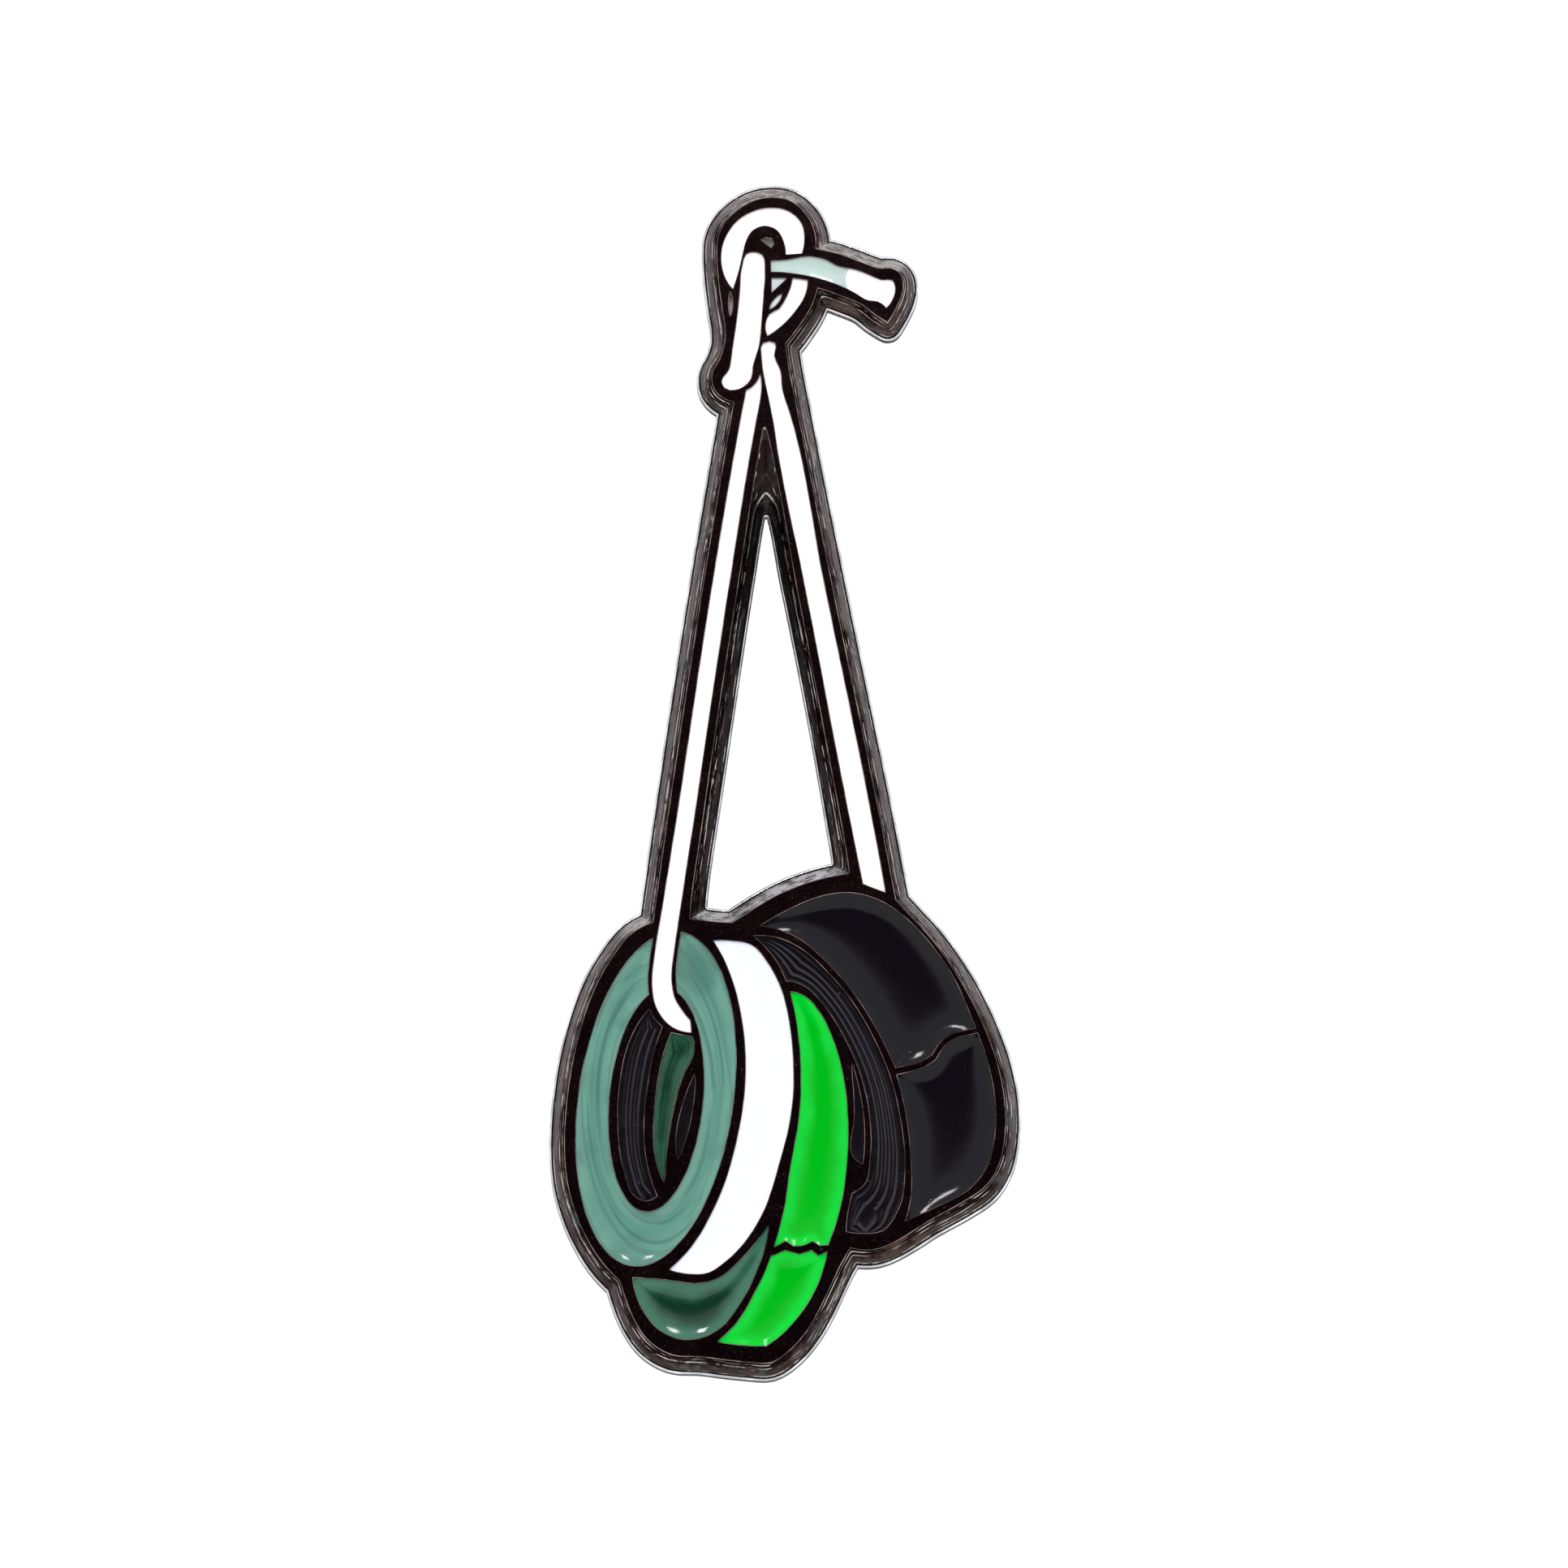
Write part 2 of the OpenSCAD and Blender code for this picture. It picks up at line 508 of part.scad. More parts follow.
// A wing's outline, seen along the post.
module wing_plan() {
    difference() {
        union() {
            translate([-neck_w / 2, jaw_gap]) square([neck_w, flare_y - 0.5]);
            intersection() {
                translate([-jaw_w / 2, jaw_gap]) square([jaw_w, jaw_len]);
                circle(r = dome_in - clear, $fn = 96);
            }
            intersection() {
                circle(r = base_r - run_gap, $fn = 96);
                polygon([[-neck_w / 2, flare_y - 0.7], [-wing_w / 2, flare_y],
                         [-wing_w / 2, clutch_d], [wing_w / 2, clutch_d],
                         [wing_w / 2, flare_y], [neck_w / 2, flare_y - 0.7]]);
            }
        }
        circle(r = post_r + jaw_gap, $fn = 64);
    }
}

// ---------- one line for each part ----------

BLACK = [0.03, 0.03, 0.035];
WHITE = [0.95, 0.96, 0.97];

base();
enamel("ring_top_enamel", WHITE);  // ring_top_enamel
enamel("ring_side_enamel", WHITE);  // ring_side_enamel
enamel("ring_sliver_enamel", [0.72, 0.76, 0.74]);  // ring_sliver_enamel
enamel("ring_web_enamel", [0.72, 0.76, 0.74]);  // ring_web_enamel
enamel("cord_tail_enamel", WHITE);  // cord_tail_enamel
enamel("cord_end_grey_enamel", [0.72, 0.79, 0.76]);  // cord_end_grey_enamel
enamel("cord_end_white_enamel", WHITE);  // cord_end_white_enamel
enamel("left_cord_enamel", WHITE);  // left_cord_enamel
enamel("right_cord_enamel", WHITE);  // right_cord_enamel
enamel("front_roll_face_enamel", [0.3, 0.55, 0.45]);  // front_roll_face_enamel
enamel("front_roll_side_enamel", [0.93, 0.95, 1]);  // front_roll_side_enamel
enamel("front_roll_bore_enamel", BLACK);  // front_roll_bore_enamel
enamel("middle_roll_bore_enamel", [0.08, 0.34, 0.2]);  // middle_roll_bore_enamel
enamel("back_roll_glimpse_enamel", BLACK);  // back_roll_glimpse_enamel
enamel("middle_roll_face_enamel", [0.1, 0.3, 0.22]);  // middle_roll_face_enamel
enamel("middle_roll_side_enamel", [0, 0.7, 0.14]);  // middle_roll_side_enamel
enamel("middle_roll_tape_end_enamel", [0, 0.7, 0.14]);  // middle_roll_tape_end_enamel
enamel("black_roll_face_enamel", BLACK);  // black_roll_face_enamel
enamel("black_roll_bore_enamel", BLACK);  // black_roll_bore_enamel
enamel("black_roll_side_enamel", BLACK);  // black_roll_side_enamel
enamel("black_roll_tape_end_enamel", BLACK);  // black_roll_tape_end_enamel
post("left");  // post_left
clutch_base("left");  // clutch_base_left
clutch_cap("left");  // clutch_cap_left
clutch_spring("left");  // clutch_spring_left
wing("left", true);  // clutch_upper_wing_left
wing("left", false);  // clutch_lower_wing_left
post("right");  // post_right
clutch_base("right");  // clutch_base_right
clutch_cap("right");  // clutch_cap_right
clutch_spring("right");  // clutch_spring_right
wing("right", true);  // clutch_upper_wing_right
wing("right", false);  // clutch_lower_wing_right
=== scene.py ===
"""Looks of the enamel pin badge: plated metal, recessed enamel, posts and butterfly clutches.

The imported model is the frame. Outlines and heights are read from its nodes, and the pieces
built here follow them. Lengths below are in millimetres, and become metres in make_piece().
"""

import math

import bmesh
import bpy
import numpy as np
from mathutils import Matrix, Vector
from mathutils.geometry import delaunay_2d_cdt


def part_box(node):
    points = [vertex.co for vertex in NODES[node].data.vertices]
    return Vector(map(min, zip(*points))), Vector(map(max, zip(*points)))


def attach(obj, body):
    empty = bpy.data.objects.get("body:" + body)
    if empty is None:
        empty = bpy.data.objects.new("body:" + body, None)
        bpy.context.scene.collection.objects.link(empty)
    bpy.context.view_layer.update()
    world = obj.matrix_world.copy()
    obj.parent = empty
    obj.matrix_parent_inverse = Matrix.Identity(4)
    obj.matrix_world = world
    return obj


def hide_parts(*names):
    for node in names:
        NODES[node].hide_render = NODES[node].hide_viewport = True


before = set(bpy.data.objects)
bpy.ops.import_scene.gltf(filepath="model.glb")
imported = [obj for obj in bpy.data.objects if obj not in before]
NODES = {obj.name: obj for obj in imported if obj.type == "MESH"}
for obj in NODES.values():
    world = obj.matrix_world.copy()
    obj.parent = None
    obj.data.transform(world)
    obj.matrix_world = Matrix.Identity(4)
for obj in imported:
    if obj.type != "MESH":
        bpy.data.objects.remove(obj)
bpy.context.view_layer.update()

MM = 0.001


# ---------- outlines ----------

def node_corners(name):
    """Lowest and highest corner of a CAD node, in millimetres."""
    low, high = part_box(name)
    return np.array(low) / MM, np.array(high) / MM


FLAT = 2e-3             # how far a flat face's points may be from its height
SAME = 1e-4             # points closer than this are one point


def cap_loops(name, y):
    """Closed outlines, as (x, z) points, of the flat faces that a node has at height y."""
    mesh = NODES[name].data
    points = np.array([v.co for v in mesh.vertices]) / MM
    keys = {}
    ids = [keys.setdefault(tuple(np.round(p, 3)), len(keys)) for p in points]
    place = {ids[i]: points[i] for i in range(len(points))}
    edges = set()
    for face in mesh.polygons:
        if all(abs(points[v][1] - y) < FLAT for v in face.vertices):
            ring = [ids[v] for v in face.vertices]
            edges.update(zip(ring, ring[1:] + ring[:1]))
    follow = {}
    for a, b in edges:
        if (b, a) not in edges:
            follow.setdefault(a, []).append(b)
    loops = []
    while follow:
        start = min(follow)
        ring, at = [], start
        while at in follow:
            ring.append(place[at][[0, 2]])
            onward = follow[at]
            step = onward.pop()
            if not onward:
                del follow[at]
            at = step
        loops.append(np.array(ring))
    return sorted(loops, key=lambda p: -abs(area(p)))


def area(p):
    """Signed area of a closed outline, positive when it runs anticlockwise."""
    q = np.roll(p, -1, axis=0)
    return 0.5 * float(np.sum(p[:, 0] * q[:, 1] - q[:, 0] * p[:, 1]))


def wound(p, anticlockwise):
    """The outline, reversed if it doesn't run the way that is asked for."""
    return p if (area(p) > 0) == anticlockwise else p[::-1]


def unit(v):
    return v / np.maximum(np.linalg.norm(v, axis=-1, keepdims=True), 1e-12)


def smooth_loop(p, step, corner=24.0):
    """The same outline with a point about every step, rounded between its corners."""
    gap = np.linalg.norm(p - np.roll(p, 1, axis=0), axis=1)
    p = p[gap > SAME]
    before, after = unit(p - np.roll(p, 1, axis=0)), unit(np.roll(p, -1, axis=0) - p)
    turn = np.degrees(np.arccos(np.clip(np.sum(before * after, axis=1), -1, 1)))
    sharp = turn > corner
    back = np.linalg.norm(p - np.roll(p, 1, axis=0), axis=1)[:, None]
    ahead = np.roll(back, -1, axis=0)
    tangent = unit(before * ahead + after * back)
    out = []
    for i in range(len(p)):
        j = (i + 1) % len(p)
        chord = p[j] - p[i]
        size = np.linalg.norm(chord)
        ta = after[i] if sharp[i] else tangent[i]
        tb = after[i] if sharp[j] else tangent[j]
        count = max(1, math.ceil(size / step))
        t = np.arange(count)[:, None] / count
        out.append(
            (2 * t**3 - 3 * t**2 + 1) * p[i]
            + (t**3 - 2 * t**2 + t) * ta * size
            + (3 * t**2 - 2 * t**3) * p[j]
            + (t**3 - t**2) * tb * size
        )
    return np.concatenate(out)


LEAST_COSINE = 0.6      # keeps the miter of a sharp corner short


def left_normals(p):
    """Mitred unit normals on the left of an outline, and their miter lengths."""
    before, after = unit(p - np.roll(p, 1, axis=0)), unit(np.roll(p, -1, axis=0) - p)
    a = np.stack([-before[:, 1], before[:, 0]], axis=1)
    b = np.stack([-after[:, 1], after[:, 0]], axis=1)
    normal = unit(a + b)
    miter = 1 / np.maximum(np.sum(normal * a, axis=1), LEAST_COSINE)
    return normal, miter


def room_ahead(points, normals, loops, limit=3.0):
    """Distance from each point along its normal to the next outline."""
    starts = np.concatenate(loops)
    ends = np.concatenate([np.roll(p, -1, axis=0) for p in loops])
    edge = ends - starts
    room = np.full(len(points), limit)
    for i in range(len(points)):
        n = normals[i]
        rel = starts - points[i]
        cross = n[0] * edge[:, 1] - n[1] * edge[:, 0]
        safe = np.where(np.abs(cross) < 1e-12, 1e-12, cross)
        far = (rel[:, 0] * edge[:, 1] - rel[:, 1] * edge[:, 0]) / safe
        share = (rel[:, 0] * n[1] - rel[:, 1] * n[0]) / safe
        hits = far[(far > 1e-3) & (share >= 0) & (share <= 1)]
        if len(hits):
            room[i] = min(limit, hits.min())
    return room


def inside(points, loops):
    """Which points lie in the area that the outlines enclose."""
    state = np.zeros(len(points), bool)
    for p in loops:
        q = np.roll(p, -1, axis=0)
        for a, b in zip(p, q):
            if a[1] == b[1]:
                continue
            crosses = (a[1] > points[:, 1]) != (b[1] > points[:, 1])
            x = a[0] + (points[:, 1] - a[1]) * (b[0] - a[0]) / (b[1] - a[1])
            state ^= crosses & (points[:, 0] < x)
    return state


def distance_to(points, chains):
    """Distance from each point to the nearest of the open chains."""
    best = np.full(len(points), 1e9)
    for chain in chains:
        for a, b in zip(chain[:-1], chain[1:]):
            edge = b - a
            size = max(float(edge @ edge), 1e-12)
            t = np.clip((points - a) @ edge / size, 0, 1)[:, None]
            best = np.minimum(best, np.linalg.norm(points - a - t * edge, axis=1))
    return best


def closed(p):
    """The outline with its first point again at its end."""
    return np.concatenate([p, p[:1]])


GRID_CLEAR = 0.62       # least distance of a grid point from an outline, in steps
LEAST_AREA = 1e-6       # twice the area of the smallest triangle kept


def fill(loops, step=None):
    """Triangles over the area that the outlines enclose, with a grid inside if step is given.

    Returns the points, the triangles, and for each point its number among the outlines' own
    points, or a number past them for a point of the grid."""
    points = [np.concatenate(loops)]
    edges, base = [], 0
    for p in loops:
        edges += [(base + i, base + (i + 1) % len(p)) for i in range(len(p))]
        base += len(p)
    if step:
        low, high = points[0].min(0), points[0].max(0)
        rows = np.arange(low[1], high[1], step * math.sqrt(3) / 2)
        grid = [
            [x, z]
            for k, z in enumerate(rows)
            for x in np.arange(low[0] + (k % 2) * step / 2, high[0], step)
        ]
        grid = np.array(grid)
        grid = grid[inside(grid, loops)]
        clear = distance_to(grid, [closed(p) for p in loops]) > GRID_CLEAR * step
        points.append(grid[clear])
    points = np.concatenate(points)
    made = delaunay_2d_cdt([Vector(p) for p in points], edges, [], 0, 1e-7)
    placed = np.array([tuple(v) for v in made[0]])
    faces = np.array([f for f in made[2] if len(f) == 3])
    one, two = (placed[faces[:, k]] - placed[faces[:, 0]] for k in (1, 2))
    has_area = np.abs(one[:, 0] * two[:, 1] - one[:, 1] * two[:, 0]) > LEAST_AREA
    faces = faces[has_area & inside(placed[faces].mean(axis=1), loops)]
    source = np.array([o[0] if o else -1 for o in made[3]])
    return placed, faces, source


# ---------- meshes ----------

class Builder:
    """Collects faces whose points are (x, y, z) in millimetres."""

    def __init__(self):
        self.points, self.faces, self.mats = [], [], []
        self.marks = {}
        self.count = 0

    def add_points(self, p):
        first = self.count
        self.points.append(np.asarray(p, float))
        self.count += len(p)
        return np.arange(first, self.count)

    def add_faces(self, faces, mat=0):
        self.faces += [tuple(int(i) for i in f) for f in faces]
        self.mats += [mat] * len(faces)

    def mark(self, name, ids, value):
        """Gives points a number, or numbers, that a material reads by name."""
        self.marks.setdefault(name, []).append((ids, value))

    def ring(self, p, y):
        """A closed row of points at (x, z) p and height y, which may be one number or many."""
        y = np.broadcast_to(np.asarray(y, float), len(p))
        return self.add_points(np.stack([p[:, 0], y, p[:, 1]], axis=1))

    def strip(self, a, b, mat=0):
        """Quads between two closed rows with as many points."""
        n = len(a)
        self.add_faces([(a[i], a[(i + 1) % n], b[(i + 1) % n], b[i]) for i in range(n)], mat)

    def cover(self, rings, loops, y, mat=0):
        """A flat cover over the area between rows that are already there."""
        placed, faces, source = fill(loops)
        ids = np.concatenate(rings)
        lookup = []
        for k in range(len(placed)):
            if 0 <= source[k] < len(ids):
                lookup.append(ids[source[k]])
            else:
                lookup.append(self.add_points([[placed[k][0], y, placed[k][1]]])[0])
        self.add_faces(np.array(lookup)[faces], mat)


MERGE = 1e-7            # metres within which doubled points are joined


def make_piece(name, builder, materials, sharp=35.0):
    """The builder's mesh as an object in metres, smooth but for edges sharper than sharp."""
    mesh = bpy.data.meshes.new(name)
    points = np.concatenate(builder.points) * MM
    mesh.from_pydata([tuple(p) for p in points], [], builder.faces)
    for m in materials:
        mesh.materials.append(m)
    mesh.polygons.foreach_set("material_index", builder.mats)
    mesh.polygons.foreach_set("use_smooth", [True] * len(mesh.polygons))
    for key, rows in builder.marks.items():
        numbers = np.zeros(builder.count, np.float32)
        for ids, value in rows:
            numbers[ids] = value
        mesh.attributes.new(key, "FLOAT", "POINT").data.foreach_set("value", numbers)
    mesh.validate()
    clean(mesh)
    mesh.set_sharp_from_angle(angle=math.radians(sharp))
    part_finishes(mesh)
    piece = bpy.data.objects.new(name, mesh)
    bpy.context.scene.collection.objects.link(piece)
    return piece


def clean(mesh):
    """Joins doubled points and turns every face outwards."""
    work = bmesh.new()
    work.from_mesh(mesh)
    bmesh.ops.remove_doubles(work, verts=work.verts, dist=MERGE)
    bmesh.ops.recalc_face_normals(work, faces=work.faces)
    work.to_mesh(mesh)
    work.free()


def part_finishes(mesh):
    """Makes the edges between two materials sharp."""
    work = bmesh.new()
    work.from_mesh(mesh)
    for edge in work.edges:
        if len({face.material_index for face in edge.link_faces}) > 1:
            edge.smooth = False
    work.to_mesh(mesh)
    work.free()


# ---------- the struck badge ----------

EDGE_R = 0.05           # rounding of the metal lines
CURVE_STEP = 0.12       # spacing of points along an outline
LIP_W = 0.15            # lip outside the sloped edge
LIP_FLAT = 0.06         # part of the lip that is flat
LIP_DROP = 0.07         # height of the lip's worn round edge
BACK_R = 0.05           # rounding of the back's edges
SLOPE_STEP = 0.15       # spacing of points on the sloped edges
ROOM_SHARE = 0.4        # share of the width of a metal line that one side's rounding may take
WIDER = 1.05            # growth of a fill's outline when looking for the cell that it fills


def levels(name):
    """Heights at which a CAD node has flat faces, from the front backwards."""
    mesh = NODES[name].data
    found = set()
    for face in mesh.polygons:
        heights = [mesh.vertices[v].co.y / MM for v in face.vertices]
        if max(heights) - min(heights) < 1e-3:
            found.add(round(heights[0], 2))
    return sorted(found)


def wide_loop(p):
    """An outline grown a little about its own middle."""
    return p.mean(0) + WIDER * (p - p.mean(0))


def within(p, limits):
    """An outline kept inside the box of another one."""
    return np.clip(p, limits.min(0), limits.max(0))


def eased_insets(loops, size):
    """How far each outline's points may move inwards, and along which normals."""
    moves = []
    for p in loops:
        normal, miter = left_normals(p)
        room = room_ahead(p, normal, loops)
        move = np.minimum(size * miter, ROOM_SHARE * room)
        for _ in range(3):
            move = np.minimum(move, 0.5 * (np.roll(move, 1) + np.roll(move, -1)) + 0.01)
        moves.append(normal * move[:, None])
    return moves


def build_badge():
    """The whole struck plate: lines, cells, sloped edges, lips, back and the posts' seats."""
    top, floor, flange, seat, back = levels("base")
    rim, gap, *cells = cap_loops("base", top)
    outside, _, _, cut = cap_loops("base", flange)
    seats = cap_loops("base", back)[2:]
    rim = wound(smooth_loop(rim, CURVE_STEP), True)
    holes = [wound(smooth_loop(p, CURVE_STEP), False) for p in [gap] + cells]
    outside = within(wound(smooth_loop(outside, CURVE_STEP), True), outside)
    cut = wound(smooth_loop(cut, CURVE_STEP), False)

    b = Builder()
    loops = [rim] + holes
    moves = eased_insets(loops, EDGE_R)
    first, crest, crest_loops = [], [], []
    for p, move in zip(loops, moves):
        previous = None
        for angle in (0, 20, 45, 70):
            a = math.radians(angle)
            at = p + move * (1 - math.cos(a))
            row = b.ring(at, top + EDGE_R * (1 - math.sin(a)))
            if previous is not None:
                b.strip(previous, row, ROUNDED)
            else:
                first.append(row)
            previous = row
        crest.append(previous)
        crest_loops.append(at)
    b.cover(crest, crest_loops, top, POLISHED)

    fills = [cap_loops(name, floor)[0] for name in NODES if name.endswith("_enamel")]
    for p, row in zip(loops[2:], first[2:]):
        low = b.ring(p, floor)
        is_open = not any(inside(p.mean(0)[None], [wide_loop(q)])[0] for q in fills)
        # The walls of open cells get the bright metal of a painted glint.
        b.strip(row, low, PAINTED_GLINT if is_open else POLISHED)
        b.cover([low], [p], floor, CELL_FLOOR)

    # sloped edges round the outside and round the gap
    edges = []
    for p, row, crest_loop in ((outside, first[0], rim), (cut, first[1], holes[0])):
        normal, miter = left_normals(p)
        normal = normal * miter[:, None]
        foot = p + LIP_W * normal
        foot_row = b.ring(foot, flange)
        mat = GAP_SLOPE if p is cut else SLOPED
        struck_slope(b, foot_row, foot, flange, row, crest_loop, top + EDGE_R, mat)
        edges.append(lip_steps(b, foot_row, p, normal, flange, back))

    rows, flats = [e[0] for e in edges], [e[1] for e in edges]
    for p in seats:
        p = wound(smooth_loop(p, CURVE_STEP), False)
        high, low = b.ring(p, back), b.ring(p, seat)
        b.strip(high, low, SATIN_BACK)
        b.cover([low], [p], seat, SATIN_BACK)
        rows.append(high)
        flats.append(p)
    b.cover(rows, flats, back, SATIN_BACK)
    return b


def struck_slope(b, foot_row, foot, foot_y, crest_row, crest, crest_y, mat):
    """The slope between two outlines. Marks how far down it each point is, and which way up."""
    placed, faces, source = fill([foot, crest], SLOPE_STEP)
    to_foot, to_crest = distance_to(placed, [closed(foot)]), distance_to(placed, [closed(crest)])
    down = to_crest / np.maximum(to_crest + to_foot, 1e-6)
    known = np.concatenate([foot_row, crest_row])
    on_line = (source >= 0) & (source < len(known))
    ids = np.full(len(placed), -1)
    ids[on_line] = known[source[on_line]]
    spot = np.stack([placed[:, 0], crest_y + (foot_y - crest_y) * down, placed[:, 1]], axis=1)
    ids[~on_line] = b.add_points(spot[~on_line])
    b.add_faces(ids[faces], mat)
    b.mark("down", ids, down)

    one, two = spot[faces[:, 1]] - spot[faces[:, 0]], spot[faces[:, 2]] - spot[faces[:, 0]]
    facing = np.cross(one, two)
    facing *= -np.sign(facing[:, 1:2])
    total = np.zeros((len(spot), 3))
    for k in range(3):
        np.add.at(total, faces[:, k], facing)
    b.mark("up", ids, total[:, 2] / np.maximum(np.linalg.norm(total[:, [0, 2]], axis=1), 1e-9))


def lip_steps(b, start, p, normal, flange, back):
    """From the slope's foot over the lip's worn edge and down to the back."""
    flat_end = LIP_W - LIP_FLAT
    # (distance in from the outline, height, material of the strip that ends there)
    profile = [
        (flat_end, flange, CREASE), (flat_end * 0.65, flange + LIP_DROP * 0.15, PAINTED_GLINT),
        (flat_end * 0.3, flange + LIP_DROP * 0.5, PAINTED_GLINT), (0.0, flange + LIP_DROP, PAINTED_GLINT),
        (0.0, back - BACK_R, SLOPED), (BACK_R * 0.3, back - BACK_R * 0.3, SATIN_BACK),
        (BACK_R, back, SATIN_BACK)]
    row = start
    for run, y, mat in profile:
        at = p + run * normal
        onward = b.ring(at, y)
        b.mark("down", onward, 1.0)
        b.strip(row, onward, mat)
        row = onward
    return row, at


# ---------- enamel ----------

RIM_CLIMB = 0.1         # how far below the crest the enamel touches the metal
DISH = 0.38             # how far its middle sinks below that in a wide cell
REACH = 0.6             # how far in from the metal the enamel curves
ENAMEL_STEP = 0.13      # spacing of points on an enamel surface
FINE_STEP = 0.055       # the same on fills with fine grooves
OVAL_MIDDLE = 0.6       # share of the ring-shaped fill's oval where its inner rim lies


def dished(points, faces, fixed, level, low):
    """Heights of a surface held at level round its edge that settles towards low inside."""
    count = len(points)
    a, b, c = (points[faces[:, k]] for k in range(3))
    double = np.abs((b[:, 0] - a[:, 0]) * (c[:, 1] - a[:, 1])
                    - (b[:, 1] - a[:, 1]) * (c[:, 0] - a[:, 0]))
    share = np.bincount(faces.ravel(), np.repeat(double / 6, 3), count)
    pairs, weights = [], []
    for i, j, k in ((0, 1, 2), (1, 2, 0), (2, 0, 1)):
        u = points[faces[:, i]] - points[faces[:, k]]
        v = points[faces[:, j]] - points[faces[:, k]]
        cot = np.sum(u * v, axis=1) / np.maximum(double, 1e-9)
        pairs.append(faces[:, [i, j]])
        weights.append(np.clip(0.5 * cot, 0.01, 20))
    pairs, weights = np.concatenate(pairs), np.concatenate(weights)
    free = ~fixed

    def apply(z):
        flow = weights * (z[pairs[:, 0]] - z[pairs[:, 1]])
        out = np.bincount(pairs[:, 0], flow, count) - np.bincount(pairs[:, 1], flow, count)
        return (out + share / REACH**2 * z) * free

    z = np.where(fixed, level - low, 0.0)
    left = -apply(z)
    way, size = left.copy(), float(left @ left)
    for _ in range(400):
        if size < 1e-16:
            break
        moved = apply(way)
        gain = size / float(way @ moved)
        z = z + gain * way * free
        left = left - gain * moved
        fresh = float(left @ left)
        way, size = left + fresh / size * way, fresh
    return z + low


def split_sides(p):
    """An outline cut at its highest and lowest points: the side to the right, then the other."""
    high, low = int(np.argmax(p[:, 1])), int(np.argmin(p[:, 1]))
    ring = np.roll(p, -low, axis=0)
    turn = (high - low) % len(p)
    return ring[: turn + 1], np.concatenate([ring[turn:], ring[:1]])


def oval_share(p, loop):
    """0 on the middle of an outline's own oval, 1 on that oval."""
    middle, half = (loop.max(0) + loop.min(0)) / 2, (loop.max(0) - loop.min(0)) / 2
    return np.linalg.norm((p - middle) / half, axis=1)


def build_enamel(node, shape=None, oval=False, dish=DISH, step=ENAMEL_STEP):
    """One fill: a dished top that climbs to the metal, on straight sides.

    Marks each point of the top with its distance from the metal and its share of the way
    across from the left side, or outwards in a ring-shaped fill."""
    low_corner, high_corner = node_corners(node)
    top = levels("base")[0]
    loop = wound(smooth_loop(cap_loops(node, low_corner[1])[0], CURVE_STEP), True)
    placed, faces, source = fill([loop], step)
    edge = (source >= 0) & (source < len(loop))
    height = dished(placed, faces, edge, top + RIM_CLIMB, top + RIM_CLIMB + dish)
    rim_far = distance_to(placed, [closed(loop)])
    right, left = split_sides(loop)
    to_right, to_left = distance_to(placed, [right]), distance_to(placed, [left])
    across = to_left / np.maximum(to_left + to_right, 1e-6)
    if oval:
        across = (oval_share(placed, loop) - OVAL_MIDDLE) / (1 - OVAL_MIDDLE)
    if shape:
        height = height + shape(rim_far, across)
    b = Builder()
    ids = b.add_points(np.stack([placed[:, 0], height, placed[:, 1]], axis=1))
    b.add_faces(ids[faces])
    order = np.full(len(loop), -1)
    order[source[edge]] = ids[edge]
    foot = b.ring(loop, high_corner[1])
    b.strip(order, foot)
    b.cover([foot], [loop], high_corner[1])
    b.mark("rim_far", ids, rim_far)
    b.mark("across", ids, across)
    return b


def enamel_piece(name, node, material, **details):
    """A fill that replaces its CAD node and moves with the badge."""
    piece = make_piece(name, build_enamel(node, **details), [material], sharp=50)
    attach(piece, "badge")
    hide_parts(node)
    return piece


# ---------- materials ----------

